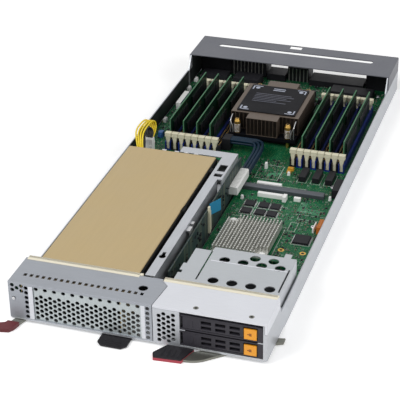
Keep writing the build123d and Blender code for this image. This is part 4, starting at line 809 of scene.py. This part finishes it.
# Card power lead: yellow and black stranded wires loop from a plug on the card's tail to a white
# housing on a header of the main board, four of each colour side by side.
wire_yellow = make_finish("wire_yellow", (240, 212, 40), spread=0.08, relief=0.2)
wire_black = make_finish("wire_black", (30, 30, 32), spread=0.2, rough=0.45, relief=0.2)
dress(white_moulding, "lead_plug")
lead_x, wire_radius = -106.75, 0.95
yellow_routes, black_routes = [], []
for index, shift in enumerate((-3.0, -1.0, 1.0, 3.0)):
    x = lead_x + shift
    lift = 0.5 * (index % 2)
    spread_x = x - 6.0 + 0.5 * shift
    yellow_routes.append([(x, 6.0, 24.6), (x, 12.0, 24.6), (x - 2.0, 15.0, 33.0 + lift),
                          (spread_x, 25.0, 42.2 - lift), (spread_x, 48.0, 43.0 - lift),
                          (spread_x + 2.0, 59.0, 41.0), (x, 57.0, 32.0), (x, 42.1, 27.0), (x, 42.1, 20.6)])
    black_routes.append([(x, 6.0, 19.6), (x, 15.0, 19.6), (x - 1.0, 21.0, 28.0 + lift),
                         (x - 5.0, 32.0, 38.4 - lift), (x - 5.0, 46.0, 39.2), (x - 1.0, 50.0, 32.0),
                         (x, 38.5, 26.0), (x, 38.5, 20.6)])
yellow = run_wires("yellow_lead", yellow_routes, wire_radius, 10, wire_yellow)
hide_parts("yellow_wires")
black = run_wires("black_lead", black_routes, wire_radius, 10, wire_black)
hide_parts("black_wires")
make_piece("lead_housing", [
    block((-112.0, 35.2, 20.6), (-101.5, 44.2, 27.6), 0.4),
    block((-108.4, 34.4, 17.0), (-105.1, 35.2, 26.0), 0.2),
], white_moulding)

# Drive cage: a folded zinc box, pierced by round vents on its roof and a honeycomb at its front. Two
# charcoal carriers slide in it, each with a slotted handle and an orange release button.
carrier_charcoal = make_finish("carrier_charcoal", (52, 50, 57), spread=0.15, rough=0.5, relief=0.2,
                               shine=0.3)
button_orange = make_finish("button_orange", (244, 164, 40), spread=0.06, relief=0.12)
button_mark = make_finish("button_mark", (150, 84, 18), rough=0.5)
# The drives are a mid-dark grey, darker than their bare metal, partly as painted shade seen through the
# roof vents.
drive_case = make_finish("drive_case", (96, 98, 102), spread=0.12, metal=0.6, grain=(120, 900, 900))
# Bright plate for the drive cover and the bracket bars, also used as a painted highlight along the roof's
# fold.
bright_plate = make_finish("bright_plate", (218, 220, 226), spread=0.04, metal=0.35,
                           grain=(90, 900, 900), relief=0.05)
roof_plate = make_finish("roof_plate", (182, 186, 190), spread=0.05, metal=0.45,
                         grain=(90, 900, 900), relief=0.06)
dress(zinc_plate, "drive_cage")
dress(roof_plate, "drive_roof")
dress(carrier_charcoal, "lower_carrier", "upper_carrier", "lower_handle", "upper_handle")
dress(button_orange, "lower_button", "upper_button")
dress(drive_case, "lower_drive", "upper_drive")
# Painted highlight: a bright strip along the fold in the roof, where the bent step catches the light.
roof_fold = block((44.0, -210.0, 42.5), (119.0, -208.6, 42.72), 0.1)
make_piece("roof_fold", [roof_fold], bright_plate)
mark_front, front_face = -298.78, -298.5
for level, z in (("lower", 12.6), ("upper", 29.6)):
    arrow = [block((107.2, mark_front, z - 1.4), (109.6, front_face, z + 1.4), 0.03),
             block((105.6, mark_front, z - 0.5), (107.2, front_face, z + 0.5), 0.03)]
    make_piece(level + "_button_mark", arrow, button_mark, level + "_button")
    grip_rib = block((52.0, -298.0, z - 3.6), (55.0, -297.65, z + 3.6), 0.05)
    make_piece(level + "_handle_grip", [grip_rib], carrier_charcoal, level + "_handle")

# Ejector levers: flat steel arms that swing below the front floor about shoulder screws, with moulded
# grips, and a black service tab that slides out between them. A red skirt edges the right grip.
arm_steel = make_finish("arm_steel", (128, 128, 120), spread=0.14, rough=0.4, metal=0.8,
                        grain=700, relief=0.12)
grip_black = make_finish("grip_black", (28, 26, 30), spread=0.2, rough=0.5,
                         grain=1200, relief=0.3, shine=0.3)
grip_red = make_finish("grip_red", (90, 13, 24), spread=0.12, rough=0.45, grain=1200, relief=0.3)
skirt_red = make_finish("skirt_red", (176, 58, 74), rough=0.45, grain=1200, relief=0.2)
dress(arm_steel, "right_lever_arm", "left_lever_arm", "lever_pivots")
dress(grip_black, "right_lever_grip", "service_tab")
dress(grip_red, "left_lever_grip")


def plate(plan, low, high):
    """An upright plate over a plan outline in mm, given anticlockwise."""
    count = len(plan)
    points = [(x, y, z) for z in (low, high) for x, y in plan]
    faces = [tuple(range(count - 1, -1, -1)), tuple(range(count, 2 * count))]
    for step in range(count):
        ahead = (step + 1) % count
        faces.append((step, ahead, count + ahead, count + step))
    return points, faces


grip_outline = [(31.0, -299.5), (22.0, -314.0), (24.4, -320.5), (49.8, -318.5), (56.0, -299.5)]
grip_middle = Vector((38.0, -311.0))
skirt_low, skirt_high, skirt_out, skirt_front = 0.15, 3.0, 0.35, -320.85
outer = []
for x, y in grip_outline:
    away = (Vector((x, y)) - grip_middle).normalized()
    outer.append((x + away.x * skirt_out, max(y + away.y * skirt_out, skirt_front)))
skirt = plate(outer + grip_outline[::-1], skirt_low, skirt_high)
make_piece("right_grip_skirt", [skirt], skirt_red, "right_lever")
grip_ridges = [block((30.0 + 5.0 * step, -316.5, 4.3), (32.0 + 5.0 * step, -305.5, 4.6), 0.12)
               for step in range(4)]
make_piece("right_grip_ridges", grip_ridges, grip_black, "right_lever")
tab_ridges = [block((-27.0, -312.6 + 2.6 * step, 2.4), (-10.6, -311.4 + 2.6 * step, 2.62), 0.08)
              for step in range(3)]
make_piece("service_tab_ridges", tab_ridges, grip_black, "service_tab")

# Front: the card's honeycomb bracket stands in a zinc cage front, and a bright cover closes the drive
# cage beside it. Cream woven strips behind both flanges make contact with the lid.
bracket_grey = make_finish("bracket_grey", (180, 187, 189), metal=0.5, grain=(900, 900, 90))
cage_plate = make_finish("cage_plate", (158, 162, 169), spread=0.07, metal=0.6, grain=(60, 900, 900),
                         relief=0.06)
strip_cream = make_finish("strip_cream", (242, 235, 214), spread=0.06, rough=0.8,
                          grain=1800, relief=0.3, shine=0.2)
dress(cage_plate, "card_cage")
dress(bracket_grey, "card_panel")
dress(bright_plate, "drive_cover")
dress(strip_cream, "card_gasket", "drive_gasket")
dress(nickel, "power_button")
bar_front, bar_low, bar_high = -298.75, 5.6, 41.0
bracket_bars = [block((x0, bar_front, bar_low), (x1, front_face, bar_high))
                for x0, x1 in ((-103.9, -99.4), (5.9, 9.9))]
make_piece("bracket_bars", bracket_bars, bright_plate)
seal_front, seal_back = -296.2, -286.0
seal_left, seal_right = -110.7, -14.8
seal_low, seal_high = 8.7, 39.2
make_piece("air_seals", [
    block((seal_left, seal_front, seal_high), (seal_right, seal_back, 39.7)),
    block((seal_left, seal_front, 8.35), (seal_right, seal_back, seal_low)),
    block((seal_left, seal_front, seal_low), (-110.3, seal_back, seal_high)),
    block((-15.2, seal_front, seal_low), (seal_right, seal_back, seal_high)),
    block((17.6, -291.0, 5.0), (41.0, -290.4, 40.0)),
], foam_black)
flange_top = 43.5
gasket_edges = [block((x0, -258.2, flange_top), (x1, -254.7, 43.76), 0.1)
                for x0, x1 in ((-122.0, -10.0), (14.0, 122.0))]
make_piece("gasket_edges", gasket_edges, strip_cream)
thread = block((-0.25, -1.6, 0.0), (0.25, 1.6, 0.12), 0.06)
thread_pitch, thread_y, gasket_top = 0.9, -253.1, 43.68
thread_spots = [(first_x + thread_pitch * step, thread_y, gasket_top)
                for first_x, count in ((-121.5, 124), (14.4, 119)) for step in range(count)]
set_out("gasket_threads", [thread], thread_spots, strip_cream)
cover_screw = turned([(2.6, 0.0), (2.5, 0.12), (1.7, 0.12), (1.2, 0.03)], 14)
cover_spots = [(56.0, -291.4, flange_top), (107.5, -290.8, flange_top)]
set_out("cover_screws", [cover_screw], cover_spots, arm_steel)
# Painted shade of the driver sockets on the cover screws.
seat_shade_disc = turned([(1.6, 0.0), (1.4, 0.1)], 6)
set_out("cover_screw_seats", [seat_shade_disc], cover_spots, hole_dark)

# Rear: black connector blocks on the main board's end plug into the enclosure's midplane, below a
# dark painted cap of folded steel. Pale shield ribs stand in front, and gold pins fill the wells.
cap_paint = make_finish("cap_paint", (98, 100, 108), spread=0.08, rough=0.45, metal=0.2,
                        grain=300, relief=0.15)
shield_grey = make_finish("shield_grey", (168, 168, 164), rough=0.4, metal=0.5, grain=(900, 900, 200))
dress(black_moulding, "midplane_connectors")
dress(cap_paint, "rear_cover")
block_front = 273.5
shield_pitch, shield_width, shield_depth = 4.6, 1.1, 0.7
shield_ribs = []
for first_x, count, high in ((-78.0, 9, 28.5), (-7.0, 6, 24.0)):
    for step in range(count):
        x = first_x + shield_pitch * step
        shield_ribs.append(block((x, block_front - shield_depth, board_top),
                                 (x + shield_width, block_front, high), 0.1))
make_piece("shield_ribs", shield_ribs, shield_grey)
pin = block((-0.35, 0.0, -0.35), (0.35, 2.4, 0.35))
well_floor, lowest_pin = 295.5, 11.0
column_pitch, row_pitch = 2.4, 2.6
pin_spots = []
for x0, x1, z1 in ((-117, -84, 27.5), (-77, -39, 27.5), (-5, 15, 22.5), (93, 115, 27.5)):
    for column in range(int((x1 - x0) / column_pitch) + 1):
        for row in range(int((z1 - lowest_pin) / row_pitch) + 1):
            pin_spots.append((x0 + column_pitch * column, well_floor, lowest_pin + row_pitch * row))
set_out("midplane_pins", [pin], pin_spots, gold_plate)
# Low black blocks and cans on the board's rear, partly parts and partly painted shade under the rear cover
# and behind the cooler.
low_parts_and_shade = []
for step in range(11):
    x = -26.0 + 11.5 * step
    low_parts_and_shade.append(on_board(x, x + 8.0, 216.0, 224.0, 6.0, 0.5))
can = [(3.4, board_top), (3.4, board_top + 8.0), (2.9, board_top + 8.6)]
low_parts_and_shade += [turned(can, 12, (-20.0 + 18.0 * step, 234.0)) for step in range(7)]
for x0, x1, y0, y1, height in ((20, 88, 266, 291, 7.0), (-34, -10, 268, 291, 8.0),
                               (-112, -78, 244, 262, 9.0), (-70, -36, 240, 262, 10.0),
                               (52, 104, 240, 260, 8.0)):
    low_parts_and_shade.append(on_board(x0, x1, y0, y1, height, 0.6))
make_piece("rear_power_parts", low_parts_and_shade, black_moulding)

# Studio: a pale floor under a white sky, one broad lamp from the front left and one from the right.
# Both are plain and soft, and the camera stands where the photograph was taken from.
camera_place = (0.395605, -1.301851, 0.756842)
camera_turn = (60.4991, 0.8123, 17.8378)
focal_length_pixels = 1437.53
image_width_pixels = 400
sensor_width_mm = 36.0

scene.view_settings.view_transform = "Standard"
camera_data = bpy.data.cameras.new("camera")
camera_data.sensor_width = sensor_width_mm
camera_data.lens = focal_length_pixels / image_width_pixels * sensor_width_mm
camera = bpy.data.objects.new("camera", camera_data)
camera.location = camera_place
camera.rotation_euler = [math.radians(angle) for angle in camera_turn]
scene.collection.objects.link(camera)
scene.camera = camera


def seen_directly(tree):
    """A socket that is 1 for rays from the camera, off gloss or through glass, for one background."""
    rays = tree.nodes.new("ShaderNodeLightPath").outputs
    seen = calculate(tree, "MAXIMUM", rays["Is Camera Ray"], rays["Is Glossy Ray"])
    return calculate(tree, "MAXIMUM", seen, rays["Is Transmission Ray"])


floor_reach = 6.0
near_floor, far_floor = 0.3, 1.6
near_lift, far_lift = 0.29, 0.6
floor_mesh = bpy.data.meshes.new("floor")
corners = [(-floor_reach, -floor_reach, 0), (floor_reach, -floor_reach, 0),
           (floor_reach, floor_reach, 0), (-floor_reach, floor_reach, 0)]
floor_mesh.from_pydata(corners, [], [(0, 1, 2, 3)])
floor = bpy.data.objects.new("floor", floor_mesh)
scene.collection.objects.link(floor)
floor_white = bpy.data.materials.new("floor_white")
floor_white.use_nodes = True
floor_tree = floor_white.node_tree
floor_shader = floor_tree.nodes["Principled BSDF"]
white, pale_grey = (1, 1, 1, 1), (0.95, 0.95, 0.95, 1)
fill(floor_shader, {"Base Color": pale_grey, "Roughness": 0.9, "Emission Color": white})
floor_place = floor_tree.nodes.new("ShaderNodeTexCoord")
floor_range = floor_tree.nodes.new("ShaderNodeVectorMath")
floor_range.operation = "LENGTH"
floor_tree.links.new(floor_place.outputs["Object"], floor_range.inputs[0])
floor_lift = rescale(floor_tree, floor_range.outputs["Value"], near_floor, far_floor, near_lift, far_lift)
floor_glow = calculate(floor_tree, "MULTIPLY", floor_lift, seen_directly(floor_tree))
floor_tree.links.new(floor_glow, floor_shader.inputs["Emission Strength"])
floor_mesh.materials.append(floor_white)

sky_strength = 0.37
world = bpy.data.worlds.new("studio")
scene.world = world
world.use_nodes = True
sky_tree = world.node_tree
sky = sky_tree.nodes["Background"]
fill(sky, {"Color": white})
sky_level = rescale(sky_tree, seen_directly(sky_tree), 0.0, 1.0, sky_strength, 1.0)
sky_tree.links.new(sky_level, sky.inputs["Strength"])


def hang_lamp(name, place, power):
    """A square soft lamp that points at the middle of the object."""
    middle = Vector((0.0, 0.0, 0.02))
    lamp_data = bpy.data.lights.new(name, "AREA")
    lamp_data.size = 1.2
    lamp_data.energy = power
    lamp = bpy.data.objects.new(name, lamp_data)
    lamp.location = place
    lamp.rotation_euler = (middle - Vector(place)).to_track_quat("-Z", "Y").to_euler()
    scene.collection.objects.link(lamp)


hang_lamp("front_left_lamp", (-1.1, -1.3, 1.7), 27)
hang_lamp("right_lamp", (1.6, -0.5, 1.3), 14.5)
